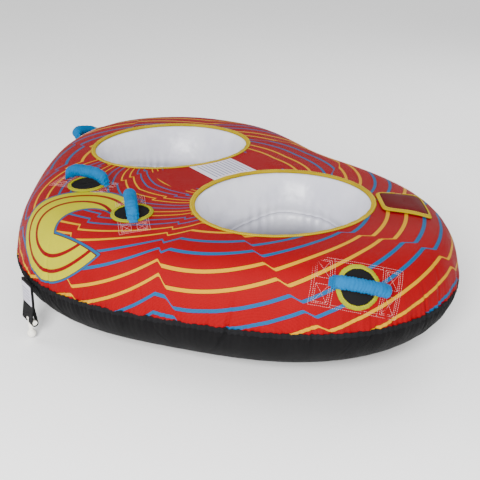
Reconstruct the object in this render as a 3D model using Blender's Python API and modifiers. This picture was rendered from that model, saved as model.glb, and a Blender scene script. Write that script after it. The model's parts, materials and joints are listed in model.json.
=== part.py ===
"""Two-rider towable tube: an inflated bladder in a sewn nylon cover, with four grab handles.

Frame: +Z up, the nose (tow end) points to -Y, the tube is symmetric about X = 0, and the
origin is the middle of the underside. Left and right are the riders' own, so left is +X.
"""

import math

import bmesh
import bpy
from mathutils import Matrix, Vector

# ---------------------------------------------------------------- driving dimensions (metres)
WIDTH = 1.750                # side to side over the two rear lobes
LENGTH = 1.235               # nose to the rearmost point of the lobes
CROWN_HEIGHT = 0.432         # top of the tube in the middle
SEAM_HEIGHT = 0.224          # the cover's equator seam, amidships
SEAM_RISE = 0.020            # how much the seam climbs per metre towards the rear
SETTLE = 0.010               # how far the inflated belly is pressed flat by the ground

COVER_THICKNESS = 0.0018     # coated nylon with its seam allowance
LAYER_GAP = 0.0006           # room between the cover and the bladder
TOUCH = 0.0004               # gap left between pieces that touch
CUTTER_REACH = 0.05          # how far a cutter runs past what it cuts

COCKPIT_OFFSET = 0.341       # cockpit centre from the centreline
COCKPIT_HALF_WIDTH = 0.257   # across the tube, at the rim
COCKPIT_HALF_LENGTH = 0.286  # fore and aft, at the rim
COCKPIT_BULGE = 0.055        # how far the bladder wall swells into the cockpit at mid height
COCKPIT_FLARE = 0.046        # how far the bladder rounds back under the cover at the rim
COCKPIT_BINDING = 0.014      # width of the tape that binds the rim
WELL_MARGIN = 0.010          # the well's shape runs this far past the crown and the floor

BAND_START = 0.80            # share of the plan radius where the side band starts underneath
PANEL_GAP = 0.0014           # share of the radius left open between floor and side band
SEAM_TAPE = 0.016            # height of the tape over the equator seam

GUARD_RADIUS = 0.0645        # neoprene knuckle guard
GUARD_THICKNESS = 0.003
GUARD_BINDING = 0.011
TRIM_THICKNESS = 0.0018      # bindings, labels and patches

FOOT_MARGIN = 0.0235         # foot of the handle webbing outside its guard
HANDLE_FOOT = GUARD_RADIUS + FOOT_MARGIN
HANDLE_FLOP = 22.0           # degrees that a handle leans either way
HANDLE_RISE = 0.047          # middle of the grip above the cover
WEBBING_WIDTH = 0.025
WEBBING_THICKNESS = 0.0024
GRIP_RADIUS = 0.022
GRIP_MARGIN = 0.0075         # end of the grip outside its guard
GRIP_HALF_LENGTH = GUARD_RADIUS + GRIP_MARGIN
GRIP_CHANNEL_GAP = 0.0006    # clearance round the webbing inside the grip
OUTER_GUARD_INSET = 0.0005   # outer guard's edge from the widest line of the tube
OUTER_HANDLE_INSET = GUARD_RADIUS + OUTER_GUARD_INSET
INNER_HANDLE_INSET = 0.1845  # inner handle's middle behind half the length
HANDLES = {                  # middle of each left-hand handle, and its heading in plan
    "outer": {"x": WIDTH / 2 - OUTER_HANDLE_INSET, "y": -0.099, "heading": 40.0},
    "inner": {"x": 0.153, "y": -LENGTH / 2 + INNER_HANDLE_INSET, "heading": -25.0},
}

LABEL_REACH = 0.007          # label's ends past the rims' nearest points
LABEL_HALF_WIDTH = COCKPIT_OFFSET - COCKPIT_HALF_WIDTH + LABEL_REACH
LABEL_HALF_LENGTH = 0.085

FLAP_X = 0.550               # middle of the valve and its flap
FLAP_Y = 0.307
FLAP_HEADING = 57.6          # direction of its hinge line in plan
FLAP_HALF_LENGTH = 0.074     # along the hinge line
FLAP_HINGE_REACH = 0.074     # hinge line from the middle of the valve
FLAP_INNER_WIDTH = 0.147     # hinge line to free edge, at the end nearer the cockpit
FLAP_OUTER_WIDTH = 0.176
FLAP_BINDING = 0.010
FLAP_LIFT = 0.011            # dome of the flap over the valve
FLAP_EDGE_LIFT = 0.0044      # flap edge above the cover, over its fastening tape
TAPE_THICKNESS = 0.0014      # each half of the hook and loop tape
STRIP_HALF_LENGTH = FLAP_HALF_LENGTH - 0.022
STRIP_HALF_WIDTH = 0.008
STRIP_MARGIN = 0.008         # middle of the tape inside the flap's binding

VALVE_RADIUS = 0.030         # barrel of the valve through the bladder
VALVE_FLANGE = VALVE_RADIUS + 0.010
VALVE_WINDOW = VALVE_FLANGE + 0.004    # hole in the cover over the valve
VALVE_DEPTH = 0.022
VALVE_WALL = 0.0035
VALVE_LEDGE = 0.006          # inward step that the insert rests on
VALVE_LEDGE_DEPTH = 0.003
VALVE_RISE = 0.0010          # underside of the flange above the bladder
VALVE_LIP = 0.0020           # thickness of the flange
VALVE_EDGE = 0.0008          # bevel of the flange and the insert
INSERT_RISE = 0.0012         # insert above the flange
INSERT_RIM = 0.0085          # width of the insert's ring
INSERT_STEP = 0.004          # inward step that the seal rests on
INSERT_FLOOR = 0.0025
SEAL_THICKNESS = 0.0015
CAP_OVERLAP = 0.005          # cap beyond the insert's mouth
CAP_THICKNESS = 0.0035
CAP_SPIGOT = 0.0030          # part of the cap that screws into the insert
CAP_BAR_WIDTH = 0.0035       # finger bar across the cap

TOW_WIDTH = 0.076            # tow webbing
TOW_LENGTH = 0.136           # pivot at the seam to the middle of the cross bar
TOW_WEBBING = 0.003
TOW_BAR_RADIUS = 0.008       # hook cross bar held in the webbing fold
TOW_BAR_GAP = 0.0006
TOW_STEM_RADIUS = 0.0085
TOW_NECK_RADIUS = 0.0065
TOW_BALL_RADIUS = 0.0145
TOW_STEM_LENGTH = 0.036
TOW_STANDOFF = 0.012         # strap plane in front of the seam tape
TOW_SLOT_MARGIN = 0.003      # room each side of the stem in the webbing's fold
TOW_SEWN_LENGTH = 0.084      # run of the doubled webbing that is sewn together
TOW_LABEL_WIDTH = 0.068
TOW_LABEL_LENGTH = 0.068
TOW_LABEL_DROP = 0.046       # middle of the label below the pivot
TOW_BAR_MARGIN = 0.002       # cross bar inside the webbing's edges
TOW_PATCH_HALF_WIDTH = 0.055
TOW_PATCH_HEIGHT = 0.060
TOW_PATCH_DROP = 0.012       # top of the patch below the seam

ZIP_ARC = 0.94               # radius of the shallow hollow between the lobes
ZIP_HALF_SPAN = 0.150
ZIP_HEIGHT = 0.135
ZIP_TAPE = 0.034
ZIP_TEETH = 0.007
ZIP_SLIDER_LENGTH = 0.016
ZIP_TRAVEL = 0.125           # rest place of the slider from the middle
ZIP_RUNNING_GAP = 0.0034     # slider off the teeth, for the hollow is not a true arc
ZIP_PULL_LENGTH = 0.034
ZIP_PULL_HALF_WIDTH = 0.0048
ZIP_PULL_WIRE = 0.0020       # width of the pull's frame round its slot
ZIP_PULL_SLOT = 0.010
ZIP_PULL_HALF_THICKNESS = 0.0009
ZIP_TAPE_THICKNESS = 0.0012
ZIP_STANDOFF = 0.0018        # tape off the side band, whose hollow it spans
ZIP_TEETH_THICKNESS = 0.0022
ZIP_END = 0.008              # tape beyond the teeth
SLIDER_SIZE = (ZIP_SLIDER_LENGTH, 0.0030, 0.011)
SLIDER_LUG = (0.0040, 0.0060, 0.0050)
SLIDER_LUG_OUT = 0.0050      # middle of the lug off the slider's back
SLIDER_EYE = 0.0026

# Shape of the plan outline: radius against the direction, as a short cosine series.
OUTLINE_SERIES = (1.0, -0.0718, -0.1853, -0.0838, 0.0238)
OUTLINE_RADIUS = 0.72
OUTLINE_WIDTH = 1.750        # the series' own width and length, which WIDTH and LENGTH scale
OUTLINE_LENGTH = 1.235
CROWN_TAPER = -0.0219        # fall of the crown per metre towards the rear
CROWN_CURVE = -0.083         # and its curvature fore and aft
CROWN_ROLL = -0.020          # and side to side
SHOULDER_POWER = 17.7        # how square the upper section is
SHOULDER_ROUND = 0.645
BELLY_POWER = 3.70           # how square the lower section is

# ---------------------------------------------------------------- mesh fineness
AROUND = 36                  # divisions round the tube
RINGS = 6                    # rings from the middle to the seam
RING_CROWDING = 2.4          # crowds the rings towards the rounded shoulder
RIM_AROUND = 28
WELL_AROUND = 24
WELL_ROWS = 10
PAD_AROUND = 20
PAD_RINGS = 2
GUARD_RINGS = 3
CURVE_STEPS = 12


# ---------------------------------------------------------------- the tube's surface
def outline(angle, inset=0.0):
    """Plan point of the equator seam; the angle is measured from +Y (rear) towards +X."""
    series = sum(c * math.cos(k * angle) for k, c in enumerate(OUTLINE_SERIES))
    radius = OUTLINE_RADIUS * series
    x = radius * math.sin(angle) * WIDTH / OUTLINE_WIDTH
    y = radius * math.cos(angle) * LENGTH / OUTLINE_LENGTH
    reach = math.hypot(x, y)
    return x * (1 - inset / reach), y * (1 - inset / reach)


def plan_angle(x, y):
    """The outline's angle towards a plan point."""
    return math.atan2(x * OUTLINE_WIDTH / WIDTH, y * OUTLINE_LENGTH / LENGTH)


def seam_height(y):
    return SEAM_HEIGHT + SEAM_RISE * y


def crown(x, y):
    """Height of the flat crown above the seam, before the shoulder rounds it off."""
    fall = CROWN_TAPER * y + CROWN_CURVE * y * y + CROWN_ROLL * x * x
    return CROWN_HEIGHT - SEAM_HEIGHT + fall


def skin(angle, share, side, inset=0.0):
    """Point of the tube at a share of the plan radius; side +1 is the top, -1 the belly."""
    edge_x, edge_y = outline(angle, inset)
    x, y = share * edge_x, share * edge_y
    seam = seam_height(y)
    if side > 0:
        rise = (1 - min(share, 1.0) ** SHOULDER_POWER) ** SHOULDER_ROUND
        return Vector((x, y, seam + (crown(x, y) - inset) * rise))
    drop = 1 - math.sqrt(1 - min(share, 1.0) ** BELLY_POWER)
    settled = max(0.0, seam * drop - SETTLE * (1 - share * share))
    return Vector((x, y, inset * (1 - drop) + settled))


def share_at(x, y, inset=0.0):
    edge_x, edge_y = outline(plan_angle(x, y), inset)
    return math.hypot(x, y) / math.hypot(edge_x, edge_y)


def is_inside(point, inset=0.0):
    share = share_at(point.x, point.y, inset)
    if share >= 1:
        return False
    angle = plan_angle(point.x, point.y)
    low = skin(angle, share, -1, inset).z
    high = skin(angle, share, 1, inset).z
    return low < point.z < high


def top_point(x, y, inset=0.0):
    return skin(plan_angle(x, y), share_at(x, y, inset), 1, inset)


def drop_onto_skin(point, normal, reach=0.12):
    """Slide a point along the normal until it lies on the tube's outer surface."""
    low, high = -reach, reach
    for _ in range(40):
        middle = (low + high) / 2
        if is_inside(point + normal * middle):
            low = middle
        else:
            high = middle
    return point + normal * low


class Seat:
    """A place on the top of the tube: origin on the skin, normal out, along set by a heading."""

    def __init__(self, x, y, heading):
        step = 0.004
        self.origin = top_point(x, y)
        side = math.copysign(1.0, x)
        run_x = (top_point(x - side * step, y) - top_point(x - 2 * side * step, y)) * side
        run_y = top_point(x, y + step) - top_point(x, y - step)
        self.normal = run_x.cross(run_y).normalized()
        flat = Vector((math.cos(heading), math.sin(heading), 0.0))
        self.along = (flat - self.normal * flat.dot(self.normal)).normalized()
        self.across = self.normal.cross(self.along)

    def point(self, along, across, height):
        """A point at a height above the skin, which it follows."""
        flat = self.origin + self.along * along + self.across * across
        return drop_onto_skin(flat, self.normal) + self.normal * height

    def matrix(self, height=0.0):
        """Local X along, local Y across, local Z out of the tube."""
        turn = Matrix((self.along, self.across, self.normal)).transposed().to_4x4()
        return Matrix.Translation(self.origin + self.normal * height) @ turn


def left_seat(spec, side):
    """The seat of a left-hand handle, or of its mirror image on the right for side -1."""
    heading = math.radians(spec["heading"])
    if side < 0:
        heading = math.pi - heading
    return Seat(side * spec["x"], spec["y"], heading)


# ---------------------------------------------------------------- scene helpers
def clear_scene():
    for item in list(bpy.data.objects):
        bpy.data.objects.remove(item, do_unlink=True)


def make_collection(name):
    group = bpy.data.collections.new(name)
    bpy.context.scene.collection.children.link(group)
    return group


def make_material(name, color, roughness, metallic=0.0):
    material = bpy.data.materials.new(name)
    material.use_nodes = True
    shader = material.node_tree.nodes["Principled BSDF"]
    shader.inputs["Base Color"].default_value = (*color, 1.0)
    shader.inputs["Roughness"].default_value = roughness
    shader.inputs["Metallic"].default_value = metallic
    return material


class Workshop:
    """The collections and materials that every piece is made with."""

    def __init__(self):
        self.parts = make_collection("towable_tube")
        self.cutters = make_collection("cutters")
        self.materials = {
            "cover": make_material("cover_nylon", (0.78, 0.02, 0.03), 0.62),
            "band": make_material("band_nylon", (0.02, 0.02, 0.022), 0.62),
            "flap": make_material("flap_nylon", (0.45, 0.01, 0.02), 0.62),
            "binding": make_material("binding_tape", (0.72, 0.70, 0.06), 0.7),
            "grip": make_material("grip_wrap", (0.0, 0.38, 0.85), 0.75),
            "webbing": make_material("webbing", (0.015, 0.015, 0.017), 0.8),
            "neoprene": make_material("neoprene", (0.012, 0.012, 0.013), 0.85),
            "vinyl": make_material("bladder_vinyl", (0.86, 0.86, 0.90), 0.35),
            "label": make_material("label", (0.85, 0.85, 0.86), 0.5),
            "plastic": make_material("moulded_plastic", (0.82, 0.82, 0.80), 0.4),
            "zip": make_material("zip_tape", (0.03, 0.03, 0.03), 0.7),
            "zip_metal": make_material("zip_metal", (0.55, 0.55, 0.56), 0.35, 1.0),
        }

    def add(self, name, mesh, material):
        piece = bpy.data.objects.new(name, mesh)
        mesh.materials.append(self.materials[material])
        self.parts.objects.link(piece)
        return piece

    def add_cutter(self, name, mesh):
        cutter = bpy.data.objects.new(name, mesh)
        cutter.hide_render = True
        cutter.display_type = "WIRE"
        self.cutters.objects.link(cutter)
        return cutter


def finish_mesh(name, form):
    bmesh.ops.recalc_face_normals(form, faces=form.faces)
    if form.calc_volume(signed=True) < 0:
        bmesh.ops.reverse_faces(form, faces=form.faces)
    mesh = bpy.data.meshes.new(name)
    form.to_mesh(mesh)
    form.free()
    mesh.shade_smooth()
    return mesh


def cut(piece, cutter):
    """Subtract the cutter from the piece and keep the result as the piece's mesh."""
    combine(piece, cutter, "DIFFERENCE")


def combine(piece, other, operation):
    modifier = piece.modifiers.new("cut", "BOOLEAN")
    modifier.operation = operation
    modifier.solver = "EXACT"
    modifier.object = other
    settle_modifiers(piece)


def settle_modifiers(piece):
    """Replace the piece's mesh by its evaluated mesh and drop its modifiers."""
    depsgraph = bpy.context.evaluated_depsgraph_get()
    mesh = bpy.data.meshes.new_from_object(piece.evaluated_get(depsgraph))
    piece.modifiers.clear()
    piece.data = mesh


# ---------------------------------------------------------------- sheets that follow the skin
def dome(around, rings, first_ring=0):
    """Half of a sphere whose vertices carry their direction and their ring share.

    first_ring > 0 leaves a hole in the middle, so the sheet is an annulus.
    """
    form = bmesh.new()
    bmesh.ops.create_uvsphere(form, u_segments=around, v_segments=2 * rings, radius=1.0)
    low = [v for v in form.verts if v.co.z < -1e-4]
    bmesh.ops.delete(form, geom=low, context="VERTS")
    direction = form.verts.layers.float.new("direction")
    share = form.verts.layers.float.new("share")
    for vert in form.verts:
        vert[direction] = math.atan2(vert.co.x, vert.co.y)
        vert[share] = round(math.acos(min(1.0, vert.co.z)) / (math.pi / 2) * rings) / rings
    if first_ring:
        inner = [v for v in form.verts if v[share] < (first_ring - 0.5) / rings]
        bmesh.ops.delete(form, geom=inner, context="VERTS")
    return form, direction, share


def sheet(name, place, around, rings, first_ring=0):
    """Closed sheet between place(direction, share, 0) and place(direction, share, 1)."""
    form, direction, share = dome(around, rings, first_ring)
    made = bmesh.ops.extrude_face_region(form, geom=form.faces[:], use_keep_orig=True)
    upper = {g for g in made["geom"] if isinstance(g, bmesh.types.BMVert)}
    for vert in form.verts:
        layer = 1 if vert in upper else 0
        vert.co = place(vert[direction], vert[share], layer)
    return finish_mesh(name, form)


def crowded(share):
    return 1 - (1 - share) ** RING_CROWDING


def tube_half(name, side, inner_inset, outer_inset, first_ring=0):
    """The top or the belly of the tube as a closed sheet of an even thickness."""
    def place(direction, share, layer):
        inset = outer_inset if layer else inner_inset
        return skin(direction, crowded(share), side, inset)
    return sheet(name, place, AROUND, RINGS, first_ring)


def tube_solid(name, inset):
    """The whole tube as one closed solid, its skin pulled in by the inset."""
    form = bmesh.new()
    bmesh.ops.create_uvsphere(form, u_segments=AROUND, v_segments=2 * RINGS, radius=1.0)
    for vert in form.verts:
        ring = round(math.acos(max(-1, min(1, vert.co.z))) / (math.pi / 2) * RINGS)
        side = 1 if ring <= RINGS else -1
        share = crowded(min(ring, 2 * RINGS - ring) / RINGS)
        vert.co = skin(math.atan2(vert.co.x, vert.co.y), share, side, inset)
    return finish_mesh(name, form)


def superellipse(direction, half_along, half_across, power):
    c, s = math.cos(direction), math.sin(direction)
    reach = (abs(c / half_along) ** power + abs(s / half_across) ** power) ** (-1 / power)
    return reach * c, reach * s


def pad(name, seat, shape, low, high, around=PAD_AROUND, rings=PAD_RINGS, dome_lift=0.0):
    """Pad on the skin: shape(direction) is its edge, low and high its heights above the skin."""
    def place(direction, share, layer):
        along, across = shape(direction)
        height = (high if layer else low) + dome_lift * (1 - share ** 4)
        return seat.point(along * share, across * share, height)
    return sheet(name, place, around, rings)


def rim(name, seat, shape, width, low, high, around=PAD_AROUND, dome_lift=0.0):
    """Flat tape along the edge of a pad, from the edge inwards by the width."""
    def place(direction, share, layer):
        along, across = shape(direction)
        reach = math.hypot(along, across)
        scale = 1 - (1 - share) * 2 * width / reach
        height = (high if layer else low) + dome_lift * (1 - scale ** 4)
        return seat.point(along * scale, across * scale, height)
    return sheet(name, place, around, 2, first_ring=1)


# ---------------------------------------------------------------- flat outlines and turned shapes
def flat_outline(name, points, half_width, holes=()):
    """A closed outline in the local XY plane, thickened along local Z, as a mesh."""
    curve = bpy.data.curves.new(name, "CURVE")
    curve.dimensions = "2D"
    curve.fill_mode = "BOTH"
    curve.extrude = half_width
    for loop in (points, *holes):
        spline = curve.splines.new("POLY")
        spline.points.add(len(loop) - 1)
        for spot, (x, y) in zip(spline.points, loop):
            spot.co = (x, y, 0.0, 1.0)
        spline.use_cyclic_u = True
    return welded_mesh(name, curve)


def welded_mesh(name, curve):
    """Turn a curve into a mesh whose caps are joined to its sides."""
    holder = bpy.data.objects.new(name + "_curve", curve)
    bpy.context.scene.collection.objects.link(holder)
    depsgraph = bpy.context.evaluated_depsgraph_get()
    mesh = bpy.data.meshes.new_from_object(holder.evaluated_get(depsgraph))
    bpy.data.objects.remove(holder, do_unlink=True)
    form = bmesh.new()
    form.from_mesh(mesh)
    bmesh.ops.remove_doubles(form, verts=form.verts, dist=1e-6)
    return finish_mesh(name, form)


def swept_tube(name, points, radius, resolution=3):
    curve = bpy.data.curves.new(name, "CURVE")
    curve.dimensions = "3D"
    curve.bevel_depth = radius
    curve.bevel_resolution = resolution
    curve.use_fill_caps = True
    spline = curve.splines.new("POLY")
    spline.points.add(len(points) - 1)
    for spot, point in zip(spline.points, points):
        spot.co = (*point, 1.0)
    return welded_mesh(name, curve)


def turned(shop, name, profile, material, steps=20):
    """Solid of revolution about local Z; the profile runs at +X from top to bottom."""
    mesh = bpy.data.meshes.new(name)
    edges = [(i, i + 1) for i in range(len(profile) - 1)]
    mesh.from_pydata([(r, 0.0, z) for r, z in profile], edges, [])
    piece = shop.add(name, mesh, material)
    screw = piece.modifiers.new("turn", "SCREW")
    screw.steps = steps
    screw.render_steps = steps
    screw.use_merge_vertices = True
    screw.merge_threshold = 1e-5
    settle_modifiers(piece)
    return piece


def cylinder_cutter(shop, name, radius, low, high, frame, segments=32):
    form = bmesh.new()
    bmesh.ops.create_cone(form, cap_ends=True, segments=segments, radius1=radius,
                          radius2=radius, depth=high - low)
    bmesh.ops.translate(form, verts=form.verts, vec=(0, 0, (low + high) / 2))
    bmesh.ops.transform(form, verts=form.verts, matrix=frame)
    return shop.add_cutter(name, finish_mesh(name, form))


def box_mesh(name, size, centre=(0, 0, 0), bevel=0.0):
    form = bmesh.new()
    bmesh.ops.create_cube(form, size=1.0)
    bmesh.ops.scale(form, verts=form.verts, vec=size)
    bmesh.ops.translate(form, verts=form.verts, vec=centre)
    if bevel:
        bmesh.ops.bevel(form, geom=form.edges[:], offset=bevel, segments=2, affect="EDGES",
                        profile=0.5)
    return finish_mesh(name, form)


# ---------------------------------------------------------------- bladder
def cockpit_cutter(shop, name, side):
    """Waisted well of one cockpit: narrow at mid height, flared at the top and the floor."""
    rows = WELL_ROWS
    form = bmesh.new()
    bmesh.ops.create_uvsphere(form, u_segments=WELL_AROUND, v_segments=rows, radius=1.0)
    low, high = -WELL_MARGIN, CROWN_HEIGHT + WELL_MARGIN
    middle, half = (low + high) / 2, (high - low) / 2
    for vert in form.verts:
        row = round(math.acos(max(-1, min(1, vert.co.z))) / math.pi * rows)
        direction = math.atan2(vert.co.y, vert.co.x)
        level = 1 - 2 * min(max(row - 1, 0), rows - 2) / (rows - 2)
        flare = 1 - math.sqrt(1 - min(abs(level), 0.999) ** 2)
        grow = -COCKPIT_BULGE + (COCKPIT_BULGE + COCKPIT_FLARE) * flare
        pole = 0.0 if row in (0, rows) else 1.0
        x = (COCKPIT_HALF_WIDTH + grow) * math.cos(direction) * pole
        y = (COCKPIT_HALF_LENGTH + grow) * math.sin(direction) * pole
        vert.co = (side * COCKPIT_OFFSET + x, y, middle + level * half)
    return shop.add_cutter(name, finish_mesh(name, form))


def seam_block(shop, name, upper, gap):
    """Block that fills everything above or below the tilted seam plane."""
    size = (2 * WIDTH, 2 * LENGTH, 2 * CROWN_HEIGHT)
    mesh = box_mesh(name, size, (0, 0, CROWN_HEIGHT if upper else -CROWN_HEIGHT))
    block = shop.add_cutter(name, mesh)
    block.location = (0, 0, SEAM_HEIGHT + (gap if upper else -gap))
    block.rotation_euler = (math.atan(SEAM_RISE), 0, 0)
    return block


def build_bladder(shop, valve):
    """Both halves of the inflated bladder, welded at the seam, as the space they fill."""
    for name, upper in (("bladder_upper", True), ("bladder_lower", False)):
        piece = shop.add(name, tube_solid(name, COVER_THICKNESS + LAYER_GAP), "vinyl")
        for side in (1, -1):
            cut(piece, cockpit_cutter(shop, f"{name}_well_{side}", side))
        cut(piece, seam_block(shop, name + "_split", not upper, -TOUCH / 2))
        if upper:
            barrel = VALVE_RADIUS + TOUCH
            pocket = VALVE_DEPTH + 4 * VALVE_RISE
            cut(piece, cylinder_cutter(shop, "valve_pocket", barrel, -pocket, CUTTER_REACH,
                                       valve.matrix()))


# ---------------------------------------------------------------- cover
def build_cover(shop, valve):
    inner, outer = COVER_THICKNESS, 0.0
    top = shop.add("top_cover", tube_half("top_cover", 1, inner, outer), "cover")
    cut(top, seam_block(shop, "cover_split", False, -TOUCH / 2))
    for side in (1, -1):
        cut(top, cockpit_column(shop, f"rim_{side}", side, 0.0))
    cut(top, cylinder_cutter(shop, "valve_window", VALVE_WINDOW, -CUTTER_REACH, CUTTER_REACH,
                             valve.matrix()))
    first_ring = band_ring()
    band = shop.add("side_band", tube_half("side_band", -1, inner, outer, first_ring), "band")
    cut(band, seam_block(shop, "band_split", True, -TOUCH / 2))
    build_bottom_panel(shop, first_ring)
    build_seam_tape(shop)


def cockpit_column(shop, name, side, grow):
    """Upright elliptical cutter of one cockpit's opening, grown by a margin."""
    well = bmesh.new()
    bmesh.ops.create_cone(well, cap_ends=True, segments=RIM_AROUND, radius1=1, radius2=1, depth=1)
    size = (COCKPIT_HALF_WIDTH + grow, COCKPIT_HALF_LENGTH + grow, CROWN_HEIGHT)
    bmesh.ops.scale(well, verts=well.verts, vec=size)
    bmesh.ops.translate(well, verts=well.verts, vec=(side * COCKPIT_OFFSET, 0, CROWN_HEIGHT))
    return shop.add_cutter(name, finish_mesh(name, well))


def band_ring():
    """First ring of the side band, the one nearest to the wanted share of the radius."""
    return min(range(1, RINGS), key=lambda k: abs(crowded(k / RINGS) - BAND_START))


def build_bottom_panel(shop, last_ring):
    """The floor of the tube, which also closes both cockpits from below."""
    def place(direction, share, layer):
        reach = crowded(share * last_ring / RINGS)
        if share == 1.0:
            reach -= PANEL_GAP
        return skin(direction, reach, -1, 0.0 if layer else COVER_THICKNESS)
    mesh = sheet("bottom_panel", place, AROUND, last_ring)
    shop.add("bottom_panel", mesh, "band")


def build_seam_tape(shop):
    """Tape over the equator seam, standing just outside the cover."""
    form = bmesh.new()
    bmesh.ops.create_cone(form, cap_ends=False, segments=AROUND, radius1=1, radius2=1,
                          depth=SEAM_TAPE)
    direction = form.verts.layers.float.new("direction")
    for vert in form.verts:
        vert[direction] = math.atan2(vert.co.x, vert.co.y)
    made = bmesh.ops.extrude_face_region(form, geom=form.faces[:], use_keep_orig=True)
    outside = {g for g in made["geom"] if isinstance(g, bmesh.types.BMVert)}
    for vert in form.verts:
        stand = TOUCH * 2 + (TRIM_THICKNESS if vert in outside else 0.0)
        x, y = outline(vert[direction], -stand)
        vert.co = (x, y, seam_height(y) + vert.co.z)
    shop.add("seam_binding", finish_mesh("seam_binding", form), "webbing")


def build_cockpit_bindings(shop):
    for label, side in (("left", 1), ("right", -1)):
        def place(direction, share, layer, side=side):
            grow = TOUCH + (2 * share - 1) * COCKPIT_BINDING
            x = side * COCKPIT_OFFSET + (COCKPIT_HALF_WIDTH + grow) * math.cos(direction)
            y = (COCKPIT_HALF_LENGTH + grow) * math.sin(direction)
            return top_point(x, y) + Vector((0, 0, TOUCH + layer * TRIM_THICKNESS))
        name = f"cockpit_binding_{label}"
        shop.add(name, sheet(name, place, RIM_AROUND, 2, first_ring=1), "binding")


def build_label(shop):
    seat = Seat(0.0, 0.0, 0.0)

    def edge(direction):
        return superellipse(direction, LABEL_HALF_WIDTH, LABEL_HALF_LENGTH, 12)
    mesh = pad("centre_label", seat, edge, TOUCH, TOUCH + TRIM_THICKNESS, around=24)
    label = shop.add("centre_label", mesh, "label")
    for side in (1, -1):
        cut(label, cockpit_column(shop, f"label_clear_{side}", side, COCKPIT_BINDING + 2 * TOUCH))


# ---------------------------------------------------------------- handles
def arch_height(along):
    """Height of the webbing's middle line above the cover."""
    return HANDLE_RISE * (1 - abs(along / HANDLE_FOOT) ** 4)


def arch_line(reach, count):
    """Points of the arch from -reach to +reach, crowded towards the steep ends."""
    marks = [math.sin(math.pi * (i / (count - 1) - 0.5)) * reach for i in range(count)]
    return [(mark, arch_height(mark)) for mark in marks]


def arch_band(reach, thickness):
    """Closed outline of the bent webbing seen from the side."""
    line = arch_line(reach, CURVE_STEPS + 1)
    upper, lower = [], []
    for index, (along, height) in enumerate(line):
        before = line[max(index - 1, 0)]
        after = line[min(index + 1, len(line) - 1)]
        run = Vector((after[0] - before[0], after[1] - before[1])).normalized()
        upper.append((along - run.y * thickness / 2, height + run.x * thickness / 2))
        lower.append((along + run.y * thickness / 2, height - run.x * thickness / 2))
    return upper + lower[::-1]


def stand_up(seat):
    """Matrix from the outline's plane (X along, Y up) to a handle's seat."""
    turn = Matrix((seat.along, seat.normal, -seat.across)).transposed().to_4x4()
    return Matrix.Translation(seat.origin) @ turn


def build_handle(shop, label, spec, side):
    seat = left_seat(spec, side)

    def circle(direction):
        return GUARD_RADIUS * math.cos(direction), GUARD_RADIUS * math.sin(direction)
    low = TOUCH
    high = low + GUARD_THICKNESS
    guard = pad(f"knuckle_guard_{label}", seat, circle, low, high, rings=GUARD_RINGS)
    shop.add(f"knuckle_guard_{label}", guard, "neoprene")
    binding = rim(f"guard_binding_{label}", seat, circle, GUARD_BINDING, high + TOUCH,
                  high + TOUCH + TRIM_THICKNESS, around=PAD_AROUND)
    shop.add(f"guard_binding_{label}", binding, "binding")
    foot_reach = handle_reach(seat)
    webbing = shop.add(f"handle_webbing_{label}",
                       flat_outline(f"handle_webbing_{label}",
                                    arch_band(foot_reach, WEBBING_THICKNESS),
                                    WEBBING_WIDTH / 2), "grip")
    webbing.matrix_world = stand_up(seat)
    line = [Vector((x, h, 0.0)) for x, h in arch_line(GRIP_HALF_LENGTH, CURVE_STEPS - 1)]
    grip = shop.add(f"handle_grip_{label}",
                    swept_tube(f"handle_grip_{label}", line, GRIP_RADIUS), "grip")
    channel = flat_outline(f"channel_{label}",
                           arch_band(foot_reach, WEBBING_THICKNESS + 2 * GRIP_CHANNEL_GAP),
                           WEBBING_WIDTH / 2 + GRIP_CHANNEL_GAP)
    cut(grip, shop.add_cutter(f"channel_{label}", channel))
    grip.matrix_world = stand_up(seat)


def handle_reach(seat):
    """How far the webbing can run down and still clear the cover when the handle leans."""
    reach = HANDLE_FOOT
    while any(is_inside(corner, -4 * TOUCH) for corner in foot_corners(seat, reach)):
        reach -= TOUCH
    return reach


def foot_corners(seat, reach):
    """Lower corners of both feet, upright and leaning to either side."""
    corners = []
    height = arch_height(reach) - WEBBING_THICKNESS
    for end in (1, -1):
        for lean in (-HANDLE_FLOP, 0.0, HANDLE_FLOP):
            turn = Matrix.Rotation(math.radians(lean), 3, seat.along)
            for edge in (1, 0, -1):
                side = seat.across * edge * WEBBING_WIDTH / 2
                arm = turn @ (side + seat.normal * height)
                corners.append(seat.origin + seat.along * end * reach + arm)
    return corners


def build_handles(shop):
    for kind, spec in HANDLES.items():
        for label, side in (("left", 1), ("right", -1)):
            build_handle(shop, f"{kind}_{label}", spec, side)


# ---------------------------------------------------------------- valve and its flap
def valve_seat():
    return Seat(FLAP_X, FLAP_Y, math.radians(FLAP_HEADING))


def flap_edge(direction):
    """Rounded trapezium: the hinge edge is straight, the width grows to the outer end."""
    along, across = superellipse(direction, FLAP_HALF_LENGTH, 0.5, 9)
    share = (along / FLAP_HALF_LENGTH + 1) / 2
    width = FLAP_INNER_WIDTH + (FLAP_OUTER_WIDTH - FLAP_INNER_WIDTH) * share
    return along, FLAP_HINGE_REACH + (across - 0.5) * width


def build_flap(shop, seat):
    low = FLAP_EDGE_LIFT
    high = low + COVER_THICKNESS
    flap = pad("valve_flap", seat, flap_edge, low, high, around=24, rings=3,
               dome_lift=FLAP_LIFT)
    shop.add("valve_flap", flap, "flap")
    tape = rim("flap_binding", seat, flap_edge, FLAP_BINDING, high + TOUCH,
               high + TOUCH + TRIM_THICKNESS, around=24, dome_lift=FLAP_LIFT)
    shop.add("flap_binding", tape, "binding")


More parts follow.
